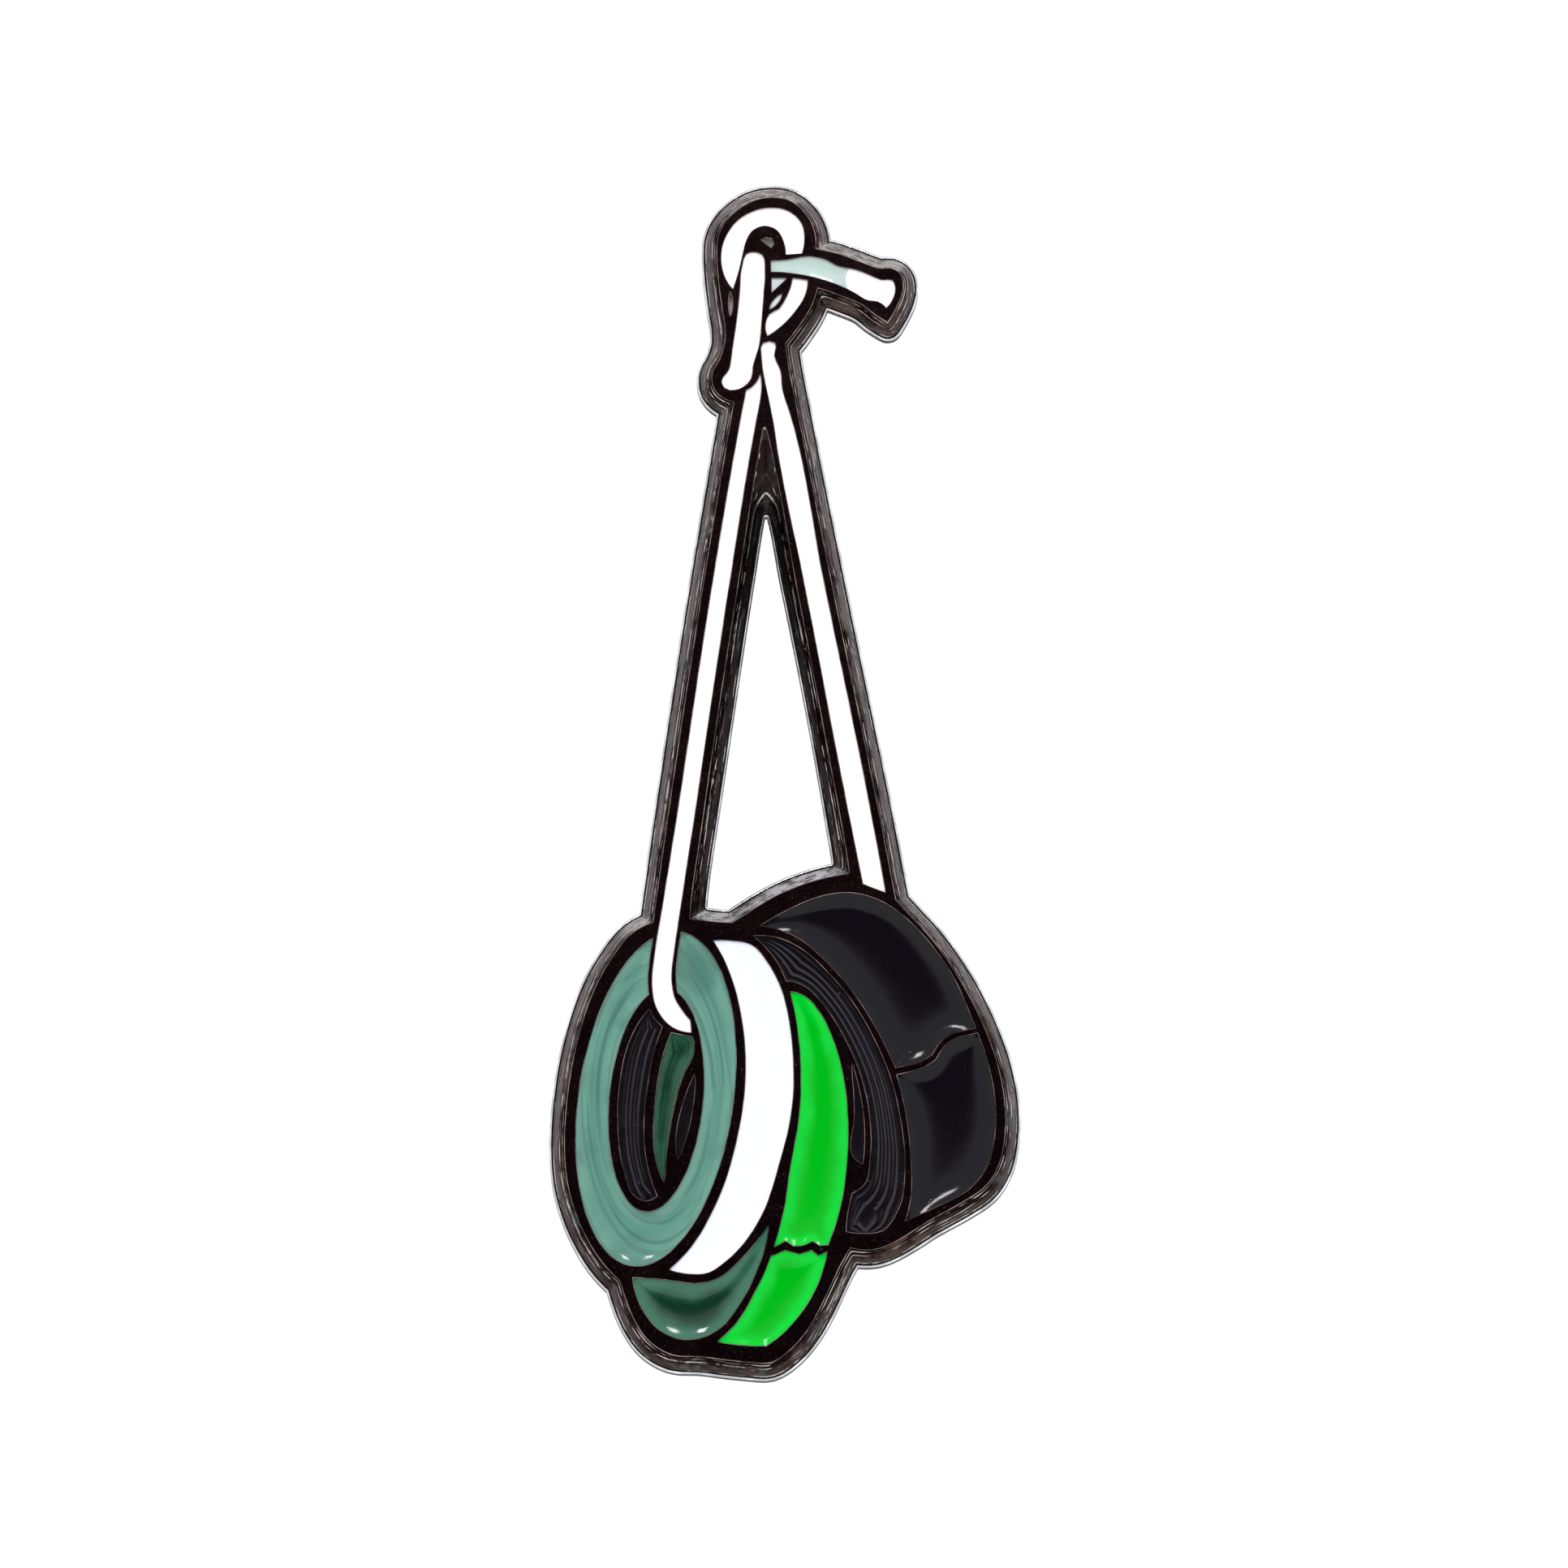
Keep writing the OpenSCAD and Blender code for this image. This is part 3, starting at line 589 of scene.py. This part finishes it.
class Paint:
    """A node material with a Principled shader and lengths in millimetres."""

    def __init__(self, name, **settings):
        self.material = bpy.data.materials.new(name)
        self.material.use_nodes = True
        self.tree = self.material.node_tree
        self.shader = self.tree.nodes["Principled BSDF"]
        for key, value in settings.items():
            self.shader.inputs[key.replace("_", " ")].default_value = value
        where = self.tree.nodes.new("ShaderNodeTexCoord")
        scale = self.tree.nodes.new("ShaderNodeVectorMath")
        scale.operation = "MULTIPLY"
        scale.inputs[1].default_value = (1 / MM, 1 / MM, 1 / MM)
        self.link(where.outputs["Object"], scale.inputs[0])
        self.mm = scale.outputs[0]

    def link(self, a, b):
        self.tree.links.new(a, b)

    def stretched(self, x, y, z):
        """The place in millimetres, scaled along each axis."""
        node = self.tree.nodes.new("ShaderNodeVectorMath")
        node.operation = "MULTIPLY"
        node.inputs[1].default_value = (x, y, z)
        self.link(self.mm, node.inputs[0])
        return node.outputs[0]

    def noise(self, per_mm, detail=3.0, rough=0.5, twist=0.0, at=None):
        node = self.tree.nodes.new("ShaderNodeTexNoise")
        node.inputs["Scale"].default_value = per_mm
        node.inputs["Detail"].default_value = detail
        node.inputs["Roughness"].default_value = rough
        node.inputs["Distortion"].default_value = twist
        self.link(at or self.mm, node.inputs["Vector"])
        return node.outputs["Fac"]

    def cells(self, per_mm):
        node = self.tree.nodes.new("ShaderNodeTexVoronoi")
        node.inputs["Scale"].default_value = per_mm
        self.link(self.mm, node.inputs["Vector"])
        return node.outputs["Distance"]

    def value(self, name):
        """The number that Builder.mark() gave each point."""
        node = self.tree.nodes.new("ShaderNodeAttribute")
        node.attribute_name = name
        return node.outputs["Fac"]

    def sum(self, a, b, operation="ADD"):
        """a and b, which are sockets or numbers, added or multiplied."""
        node = self.tree.nodes.new("ShaderNodeMath")
        node.operation = operation
        for socket, item in zip(node.inputs, (a, b)):
            if isinstance(item, (int, float)):
                socket.default_value = item
            else:
                self.link(item, socket)
        return node.outputs[0]

    def vector(self, x, y, z):
        node = self.tree.nodes.new("ShaderNodeCombineXYZ")
        for socket, item in zip(node.inputs, (x, y, z)):
            if isinstance(item, (int, float)):
                socket.default_value = item
            else:
                self.link(item, socket)
        return node.outputs[0]

    def spread(self, source, low, high, to_low, to_high, kind="SMOOTHSTEP"):
        """Takes low..high of a socket to to_low..to_high, and holds the ends."""
        node = self.tree.nodes.new("ShaderNodeMapRange")
        node.interpolation_type = kind
        for key, number in (("From Min", low), ("From Max", high), ("To Min", to_low),
                            ("To Max", to_high)):
            node.inputs[key].default_value = number
        self.link(source, node.inputs["Value"])
        return node.outputs["Result"]

    def blend(self, share, a, b):
        """Colour a at share 0 and colour b at share 1."""
        node = self.tree.nodes.new("ShaderNodeMix")
        node.data_type = "RGBA"
        self.link(share, node.inputs[0])
        for socket, item in ((node.inputs[6], a), (node.inputs[7], b)):
            if isinstance(item, tuple):
                socket.default_value = (*item, 1.0)
            else:
                self.link(item, socket)
        return node.outputs[2]

    def bump(self, height, depth_mm, over=None):
        """Relief of a given depth, on top of an earlier one if over is given."""
        node = self.tree.nodes.new("ShaderNodeBump")
        node.inputs["Strength"].default_value = 1.0
        node.inputs["Distance"].default_value = depth_mm * MM
        self.link(height, node.inputs["Height"])
        if over:
            self.link(over, node.inputs["Normal"])
        self.link(node.outputs["Normal"], self.shader.inputs["Normal"])
        return node.outputs["Normal"]

    def to(self, source, socket):
        self.link(source, self.shader.inputs[socket])


def black_nickel(name, light, dark, rough, grain, pits):
    """Black nickel plate. grain is the depth of its orange peel, pits that of its nicks."""
    paint = Paint(name, Metallic=1.0)
    cloud = paint.noise(0.9, 4.0, 0.6)
    paint.to(paint.blend(paint.spread(cloud, 0.35, 0.7, 0, 1), dark, light), "Base Color")
    fine = paint.noise(9.0, 5.0, 0.65)
    paint.to(paint.spread(fine, 0.3, 0.75, rough * 0.75, rough * 1.35), "Roughness")
    first = paint.bump(paint.noise(3.2, 4.0, 0.55), grain)
    nick = paint.spread(paint.noise(6.5, 6.0, 0.75, 0.4), 0.62, 0.72, 0, 1)
    paint.bump(nick, pits, over=first)
    return paint.material


def sloped_nickel(name, crest, shaded, lit, scratch_and_glint, rough):
    """Plate on a sloped edge: crest is its colour at the top, shaded and lit are painted shade and
    painted light at its foot where it faces down and up, and streak is that of the long scratches
    along it and of the painted glints where it faces up."""
    paint = Paint(name, Metallic=1.0, Specular_Tint=(0.2, 0.2, 0.2, 1.0))
    down, up = paint.value("down"), paint.value("up")
    # The foot's colour is painted shade where the slope faces down and painted light where it
    # faces up; tilt moves the blend towards the lighter foot where it faces up, which is painted
    # light too.
    foot = paint.blend(paint.spread(up, -0.7, 1.0, 0, 1, "LINEAR"), shaded, lit)
    tilt = paint.sum(paint.spread(up, -1.0, 1.0, -0.2, 0.2, "LINEAR"), down)
    uneven = paint.sum(tilt, paint.spread(paint.noise(0.8, 4.0, 0.6), 0.3, 0.7, -0.22, 0.22,
                                          "LINEAR"))
    colour = paint.blend(paint.spread(uneven, 0.0, 0.75, 0, 1), crest, foot)
    warm = tuple(lit[k] * t for k, t in enumerate((0.75, 0.55, 0.52)))
    cool = tuple(lit[k] * t for k, t in enumerate((0.5, 0.66, 0.6)))
    warm_share = paint.spread(paint.noise(0.5, 3.0, 0.6), 0.54, 0.7, 0, 0.4)
    colour = paint.blend(warm_share, colour, warm)
    cool_share = paint.spread(paint.noise(0.62, 3.0, 0.6), 0.57, 0.7, 0, 0.4)
    colour = paint.blend(cool_share, colour, cool)
    lane = paint.vector(paint.sum(down, 6.0, "MULTIPLY"),
                        paint.sum(paint.noise(0.22, 2.0), 5.0, "MULTIPLY"), 0.0)
    thread = paint.noise(1.5, 2.0, 0.5, at=lane)
    broken = paint.spread(paint.noise(1.1, 3.0, 0.6), 0.38, 0.52, 0, 1)
    line = paint.sum(paint.spread(thread, 0.56, 0.64, 0, 0.9), broken, "MULTIPLY")
    colour = paint.blend(line, colour, scratch_and_glint)
    dark_line = paint.spread(paint.noise(1.9, 2.0, 0.5, at=lane), 0.58, 0.66, 0, 0.6)
    colour = paint.blend(dark_line, colour, crest)
    # Painted glints where the slope faces up, in the scratches' bright colour.
    glint = paint.spread(paint.noise(1.6, 3.0, 0.65), 0.38, 0.58, 0.2, 1.0)
    shine = paint.sum(paint.spread(up, 0.6, 0.95, 0, 0.85), glint, "MULTIPLY")
    paint.to(paint.blend(shine, colour, scratch_and_glint), "Base Color")
    fine = paint.noise(7.0, 5.0, 0.65)
    paint.to(paint.spread(fine, 0.3, 0.75, rough * 0.7, rough * 1.4), "Roughness")
    first = paint.bump(thread, 0.05)
    paint.bump(paint.noise(4.0, 5.0, 0.65), 0.03, over=first)
    return paint.material


ENAMEL_ROUGH = 0.09


def enamel_paint(name, middle, side, reach=1.0, patch=None, streaks=0.0, gloss=0.5):
    """Glossy enamel: middle is its colour from reach inwards, and side that at the metal.

    patch is the colour of faint clouds in it, and streaks the depth of its long streaks."""
    paint = Paint(name, IOR=1.5, Specular_IOR_Level=gloss)
    far = paint.value("rim_far")
    wobble = paint.sum(paint.spread(paint.noise(0.7, 2.0), 0.3, 0.7, -0.18, 0.18, "LINEAR"), far)
    # Where side is lighter than middle, as on the greens and sage, it is a painted reflection of
    # the enamel that climbs to the metal; where it is darker, as on the greys and whites, it is
    # painted shade along the metal.
    colour = paint.blend(paint.spread(wobble, 0.05, reach, 0, 1), side, middle)
    if patch:
        cloud = paint.noise(0.42, 2.0, 0.5, 0.3)
        colour = paint.blend(paint.spread(cloud, 0.45, 0.72, 0, 0.85), colour, patch)
    if streaks:
        lane = paint.vector(paint.sum(paint.value("across"), 5.0, "MULTIPLY"),
                            paint.sum(paint.noise(0.15, 1.0), 3.0, "MULTIPLY"), 0.0)
        thread = paint.noise(1.3, 2.0, 0.5, at=lane)
        darker = tuple(c * (1 - streaks) for c in (patch or middle))
        colour = paint.blend(paint.spread(thread, 0.46, 0.7, 0, 0.75), colour, darker)
    paint.to(colour, "Base Color")
    paint.to(paint.spread(paint.noise(2.5, 3.0), 0.3, 0.7, ENAMEL_ROUGH * 0.7,
                          ENAMEL_ROUGH * 1.5), "Roughness")
    first = paint.bump(paint.noise(0.8, 2.0, 0.4), 0.012)
    dust = paint.spread(paint.cells(1.1), 0.02, 0.09, 1, 0)
    paint.bump(dust, 0.006, over=first)
    return paint.material


def plated(name, light, dark, rough):
    """Bright nickel plate on turned and stamped parts."""
    paint = Paint(name, Metallic=1.0)
    cloud = paint.noise(0.6, 4.0, 0.6)
    paint.to(paint.blend(paint.spread(cloud, 0.3, 0.75, 0, 1), dark, light), "Base Color")
    brushed = paint.noise(2.0, 5.0, 0.7, at=paint.stretched(6.0, 0.6, 6.0))
    paint.to(paint.spread(brushed, 0.3, 0.7, rough * 0.6, rough * 1.5), "Roughness")
    first = paint.bump(brushed, 0.0012)
    nick = paint.spread(paint.noise(4.0, 6.0, 0.75, 0.5), 0.64, 0.74, 0, 1)
    paint.bump(nick, 0.003, over=first)
    return paint.material


# The badge's finishes, in the order of badge_metals.
POLISHED, SLOPED, CELL_FLOOR, SATIN_BACK, CREASE, PAINTED_GLINT, ROUNDED, GAP_SLOPE = range(8)
badge_metals = [
    black_nickel("black_nickel_lines", (0.06, 0.032, 0.034), (0.035, 0.016, 0.02), 0.12, 0.004,
                 0.01),
    sloped_nickel("black_nickel_slope", (0.024, 0.015, 0.014), (0.085, 0.069, 0.062),
                  (0.36, 0.325, 0.31), (0.75, 0.7, 0.65), 0.3),
    # Pale metal on the cells' floors, seen only in the cells left open: painted glint.
    black_nickel("cell_floor_painted_glint", (0.8, 0.79, 0.77), (0.4, 0.39, 0.38), 0.35, 0.05, 0.03),
    black_nickel("black_nickel_back", (0.185, 0.17, 0.165), (0.165, 0.152, 0.148), 0.36, 0.02,
                 0.015),
    black_nickel("black_nickel_crease", (0.04, 0.03, 0.03), (0.02, 0.015, 0.015), 0.3, 0.01, 0.01),
    # Bright metal on the lip's rounded edge and on the walls of open cells: painted glint.
    black_nickel("painted_glint_edge", (0.85, 0.85, 0.84), (0.5, 0.49, 0.48), 0.25, 0.02, 0.02),
    # Lighter brown on the rounded edges of the lines: painted highlight.
    black_nickel("line_edge_painted_highlight", (0.42, 0.31, 0.26), (0.07, 0.045, 0.045), 0.2, 0.02, 0.03),
    # Darker than the outer slope: painted shade in the gap.
    sloped_nickel("black_nickel_gap_slope", (0.02, 0.012, 0.012), (0.045, 0.035, 0.033),
                  (0.12, 0.105, 0.1), (0.9, 0.87, 0.85), 0.3),
]

WHITE = (0.98, 0.97, 0.95)
BLACK = (0.004, 0.003, 0.005)
white = enamel_paint("white_enamel", WHITE, (0.96, 0.95, 0.93), 0.3)
web_grey = enamel_paint("web_grey_enamel", (0.6, 0.63, 0.62), (0.5, 0.53, 0.52), 0.3,
                        (0.8, 0.82, 0.82))
sliver_white = enamel_paint("sliver_white_enamel", (0.84, 0.87, 0.86), (0.75, 0.8, 0.78), 0.3)
pale_grey = enamel_paint("pale_grey_enamel", (0.53, 0.65, 0.59), (0.5, 0.6, 0.56), 0.4,
                         (0.46, 0.6, 0.53))
ice_white = enamel_paint("ice_white_enamel", (0.85, 0.91, 1.0), (0.84, 0.87, 0.97), 0.5,
                         streaks=0.03)
sage = enamel_paint("sage_enamel", (0.108, 0.275, 0.205), (0.13, 0.31, 0.235), 0.6,
                    (0.078, 0.195, 0.145), streaks=0.22, gloss=0.28)
forest = enamel_paint("forest_enamel", (0.006, 0.035, 0.018), (0.02, 0.085, 0.045), 0.6,
                      streaks=0.5, gloss=0.3)
dark_green = enamel_paint("dark_green_enamel", (0.004, 0.03, 0.014), (0.04, 0.15, 0.09), 1.0,
                          gloss=0.35)
bright_green = enamel_paint("bright_green_enamel", (0.0, 0.42, 0.008), (0.0, 0.6, 0.035), 0.8,
                            gloss=0.14)
wound_black = enamel_paint("black_wound_enamel", BLACK, BLACK, 0.5, gloss=0.5)
black = enamel_paint("black_enamel", BLACK, (0.006, 0.005, 0.007), 0.5, gloss=0.2)
post_metal = plated("nickel_post_plate", (0.78, 0.75, 0.7), (0.62, 0.6, 0.56), 0.2)
clutch_metal = plated("nickel_clutch_plate", (0.82, 0.79, 0.73), (0.68, 0.65, 0.6), 0.16)
spring_metal = plated("spring_wire_plate", (0.6, 0.59, 0.57), (0.45, 0.44, 0.43), 0.28)


# ---------- pieces ----------

badge = make_piece("badge_body", build_badge(), badge_metals)
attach(badge, "badge")
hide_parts("base")


GROOVE_START, GROOVE_FULL = 0.06, 0.26      # distances from the metal


def winding(turns, depth):
    """Concentric grooves of wound tape, fading at the metal."""
    def shape(rim_far, across):
        fade = np.clip((rim_far - GROOVE_START) / (GROOVE_FULL - GROOVE_START), 0, 1)
        return depth * np.sin(across * 2 * math.pi * turns) * fade
    return shape


FILLS = {
    "ring_top": white, "ring_side": white, "ring_sliver": sliver_white, "ring_web": web_grey,
    "cord_tail": white, "cord_end_grey": pale_grey, "cord_end_white": white,
    "left_cord": white, "right_cord": white, "front_roll_face": sage,
    "front_roll_side": ice_white, "front_roll_bore": wound_black, "middle_roll_bore": forest,
    "back_roll_glimpse": black, "middle_roll_face": dark_green,
    "middle_roll_side": bright_green, "middle_roll_tape_end": bright_green,
    "black_roll_face": wound_black, "black_roll_bore": black, "black_roll_side": black,
    "black_roll_tape_end": black,
}
# What differs from build_enamel()'s own values.
DETAILS = {
    "black_roll_face": {"shape": winding(4.5, 0.01), "dish": 0.03, "step": FINE_STEP},
    "front_roll_bore": {"shape": winding(3.2, 0.009), "dish": 0.03, "step": FINE_STEP},
    "front_roll_face": {"shape": winding(5, 0.004), "oval": True},
    "middle_roll_bore": {"dish": 0.2},
    "black_roll_bore": {"dish": 0.15},
    "back_roll_glimpse": {"dish": 0.15},
}
for fill_name, paint in FILLS.items():
    node = fill_name + "_enamel"
    piece = enamel_piece(fill_name + "_fill", node, paint, **DETAILS.get(fill_name, {}))


# ---------- posts and clutches ----------

# Profiles of the turned and drawn parts: (radius, height above the part's foot).
POST = [
    (0, 0), (1.56, 0), (1.6, 0.04), (1.6, 0.21), (1.57, 0.28), (1.5, 0.33), (1.42, 0.35),
    (0.9, 0.35), (0.76, 0.38), (0.64, 0.46), (0.57, 0.57), (0.55, 0.66), (0.55, 5.97),
    (0.52, 6.01), (0.44, 6.03), (0.43, 6.05), (0.43, 6.3), (0.44, 6.32), (0.52, 6.34),
    (0.55, 6.38), (0.55, 6.68), (0.52, 6.8), (0.42, 7.06), (0.28, 7.37), (0.18, 7.54),
    (0.08, 7.6), (0, 7.6)]
CLUTCH_BASE = [
    (0.64, 0.3), (0.63, 0.26), (0.63, 0.04), (0.67, 0), (1.9, 0), (2.05, 0.03), (2.2, 0.03),
    (2.35, 0), (4.72, 0), (4.88, 0.04), (4.97, 0.13), (5.0, 0.26), (5.0, 0.76), (4.97, 0.88),
    (4.88, 0.98), (4.72, 1.02), (4.46, 1.02), (4.34, 0.99), (4.27, 0.93), (4.25, 0.87),
    (4.27, 0.8), (4.34, 0.74), (4.44, 0.72), (4.66, 0.72), (4.7, 0.68), (4.7, 0.34),
    (4.66, 0.3), (2.35, 0.3), (2.2, 0.33), (2.05, 0.33), (1.9, 0.3)]
SHEET = 0.3                     # thickness of the cap's sheet
CAP_FOOT = [
    (4.63, 0.15), (4.2, 0.15), (3.6, 0.15), (3.1, 0.15), (2.8, 0.16), (2.62, 0.22),
    (2.51, 0.32), (2.46, 0.42)]
WALL_HEIGHTS = (0.9, 1.4, 1.95)
WALL_TOP = 2.85
WINDOW = (0.48, 2.48)           # lowest and highest edge of the cap's windows
WINDOW_HALF = 37.8              # half the angle that a window opens
DOME_R, DOME_Z = 2.45, 3.24     # the dome's middle surface, and the height of its centre
DOME_STEP = 6                   # degrees between the dome's rings
SEGMENTS = 120                  # points round a ring


def middle_of(node):
    """Centre of a node as (x, z), and the height of its foot."""
    low, high = node_corners(node)
    return (low[[0, 2]] + high[[0, 2]]) / 2, low[1]


def turned(b, node, profile, angles, close=False):
    """A profile turned about a node's axis. A radius of 0 closes it with one point."""
    centre, foot = middle_of(node)
    rows = []
    for radius, height in profile:
        if radius == 0:
            tip = b.add_points([[centre[0], foot + height, centre[1]]])[0]
            rows.append(np.full(len(angles), tip))
        else:
            ring = centre + radius * np.stack([np.sin(angles), np.cos(angles)], axis=1)
            rows.append(b.ring(ring, foot + height))
    for one, two in zip(rows, rows[1:] + (rows[:1] if close else [])):
        n = len(one)
        for i in range(n):
            j = (i + 1) % n
            face = list(dict.fromkeys((one[i], one[j], two[j], two[i])))
            b.add_faces([face])


def even_angles():
    return np.arange(SEGMENTS) * 2 * math.pi / SEGMENTS


def cap_angles():
    """Angles round the cap, with points on the windows' upright edges."""
    angles = even_angles()
    for edge in (WINDOW_HALF, 180 - WINDOW_HALF, 180 + WINDOW_HALF, 360 - WINDOW_HALF):
        near = np.argmin(np.abs(angles - math.radians(edge)))
        angles[near] = math.radians(edge)
    return angles


def build_cap(node):
    """Middle surface of the cap's sheet: flange, wall with two windows, and dome."""
    wall = [(DOME_R, h) for h in (WINDOW[0], *WALL_HEIGHTS, WINDOW[1], WALL_TOP, DOME_Z)]
    dome = [(DOME_R * math.cos(math.radians(t)), DOME_Z + DOME_R * math.sin(math.radians(t)))
            for t in range(DOME_STEP, 90, DOME_STEP)]
    b = Builder()
    turned(b, node, CAP_FOOT + wall + dome + [(0, DOME_Z + DOME_R)], cap_angles())
    centre, foot = middle_of(node)
    points = np.concatenate(b.points)
    keep = []
    for face in b.faces:
        x, y, z = points[list(face)].mean(0) - (centre[0], foot, centre[1])
        beside = math.degrees(math.atan2(abs(x), abs(z))) < WINDOW_HALF
        open_here = beside and WINDOW[0] < y < WINDOW[1] and math.hypot(x, z) < DOME_R + 0.1
        if not open_here:
            keep.append(face)
    b.faces, b.mats = keep, [0] * len(keep)
    return b


def worn_edges(piece, width, angle=40):
    """Rounds the edges sharper than angle."""
    bevel = piece.modifiers.new("worn_edges", "BEVEL")
    bevel.width = width * MM
    bevel.segments = 3
    bevel.limit_method = "ANGLE"
    bevel.angle_limit = math.radians(angle)


for side in ("left", "right"):
    b = Builder()
    turned(b, "post_" + side, POST, even_angles())
    post = make_piece("turned_post_" + side, b, [post_metal])
    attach(post, "badge")
    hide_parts("post_" + side)

    b = Builder()
    turned(b, "clutch_base_" + side, CLUTCH_BASE, even_angles(), close=True)
    washer = make_piece("rolled_washer_" + side, b, [clutch_metal])
    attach(washer, side + "_clutch_base")
    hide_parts("clutch_base_" + side)

    cap = make_piece("drawn_cap_" + side, build_cap("clutch_cap_" + side), [clutch_metal])
    sheet = cap.modifiers.new("sheet", "SOLIDIFY")
    sheet.thickness = SHEET * MM
    sheet.offset = 0
    worn_edges(cap, 0.05, 50)
    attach(cap, side + "_clutch_cap")
    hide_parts("clutch_cap_" + side)

    for part, metal in (("spring", spring_metal), ("upper_wing", clutch_metal),
                        ("lower_wing", clutch_metal)):
        obj = NODES["clutch_" + part + "_" + side]
        obj.data.materials.clear()
        obj.data.materials.append(metal)
        obj.data.set_sharp_from_angle(angle=math.radians(35))
        worn_edges(obj, 0.06)


# ---------- camera, light and floor ----------

LOOK_UP = math.radians(7)       # the camera looks up by this much
VIEW_MIDDLE = Vector((0.04, -1.85, 14.55)) * MM
VIEW_WIDTH = 72.45 * MM         # width of the picture at the badge
LENS, SENSOR = 600.0, 36.0      # a long lens, since the badge shows almost no perspective
LAMP_SIDE, LAMP_HIGH = 15, 38   # the lamps' directions, in degrees
LAMP_FAR, LAMP_SIZE = 0.6, (0.08, 0.08)
LAMP_RADIANCE = 32
TENT_WHITE, TENT_DARK = (1.03, 1.05, 1.12), (0.03, 0.018, 0.024)
OPENING = (12, 24)              # where the tent's dark opening starts and ends to fade

look = Vector((0, math.cos(LOOK_UP), math.sin(LOOK_UP)))
camera_data = bpy.data.cameras.new("camera")
camera_data.lens = LENS
camera_data.sensor_width = SENSOR
camera_data.clip_start = 0.01
camera = bpy.data.objects.new("camera", camera_data)
camera.location = VIEW_MIDDLE - look * (VIEW_WIDTH * LENS / SENSOR)
camera.rotation_euler = look.to_track_quat("-Z", "Y").to_euler()
bpy.context.scene.collection.objects.link(camera)
bpy.context.scene.camera = camera


def soft_box(name, azimuth, elevation, distance, size, radiance):
    """A square lamp that faces the badge from a direction given in degrees."""
    a, e = math.radians(azimuth), math.radians(elevation)
    way = Vector((math.sin(a) * math.cos(e), -math.cos(a) * math.cos(e), math.sin(e)))
    data = bpy.data.lights.new(name, "AREA")
    data.shape = "RECTANGLE"
    data.size, data.size_y = size
    data.energy = radiance * math.pi * size[0] * size[1]
    lamp = bpy.data.objects.new(name, data)
    lamp.location = VIEW_MIDDLE + way * distance
    lamp.rotation_euler = (-way).to_track_quat("-Z", "Y").to_euler()
    bpy.context.scene.collection.objects.link(lamp)


soft_box("lamp_left", -LAMP_SIDE, LAMP_HIGH, LAMP_FAR, LAMP_SIZE, LAMP_RADIANCE)
soft_box("lamp_right", LAMP_SIDE, LAMP_HIGH, LAMP_FAR, LAMP_SIZE, LAMP_RADIANCE)


def light_tent(tent, shade, inner, outer):
    """A white tent with a dark opening on the front, soft from inner to outer degrees."""
    world = bpy.data.worlds.new("light_tent")
    world.use_nodes = True
    tree = world.node_tree
    back = tree.nodes["Background"]
    where = tree.nodes.new("ShaderNodeTexCoord")
    dot = tree.nodes.new("ShaderNodeVectorMath")
    dot.operation = "DOT_PRODUCT"
    dot.inputs[1].default_value = -look
    tree.links.new(where.outputs["Generated"], dot.inputs[0])
    spread = tree.nodes.new("ShaderNodeMapRange")
    spread.interpolation_type = "SMOOTHSTEP"
    spread.inputs["From Min"].default_value = math.cos(math.radians(outer))
    spread.inputs["From Max"].default_value = math.cos(math.radians(inner))
    tree.links.new(dot.outputs["Value"], spread.inputs["Value"])
    mix = tree.nodes.new("ShaderNodeMix")
    mix.data_type = "RGBA"
    mix.inputs[6].default_value = (*tent, 1)
    mix.inputs[7].default_value = (*shade, 1)
    tree.links.new(spread.outputs["Result"], mix.inputs[0])
    tree.links.new(mix.outputs[2], back.inputs["Color"])
    bpy.context.scene.world = world


light_tent(TENT_WHITE, TENT_DARK, *OPENING)
bpy.context.scene.view_settings.view_transform = "Standard"

FLOOR_Z = -60 * MM
FLOOR_HALF = 0.25
floor_mesh = bpy.data.meshes.new("floor")
sides = ((-1, -1), (1, -1), (1, 1), (-1, 1))
corners = [(x * FLOOR_HALF, y * FLOOR_HALF, FLOOR_Z) for x, y in sides]
floor_mesh.from_pydata(corners, [], [(0, 1, 2, 3)])
floor = bpy.data.objects.new("floor", floor_mesh)
bpy.context.scene.collection.objects.link(floor)
floor_paint = Paint("floor_card", Roughness=0.6)
card = floor_paint.blend(floor_paint.noise(0.02, 2.0), (0.84, 0.84, 0.83), (0.88, 0.88, 0.87))
floor_paint.to(card, "Base Color")
floor_mesh.materials.append(floor_paint.material)
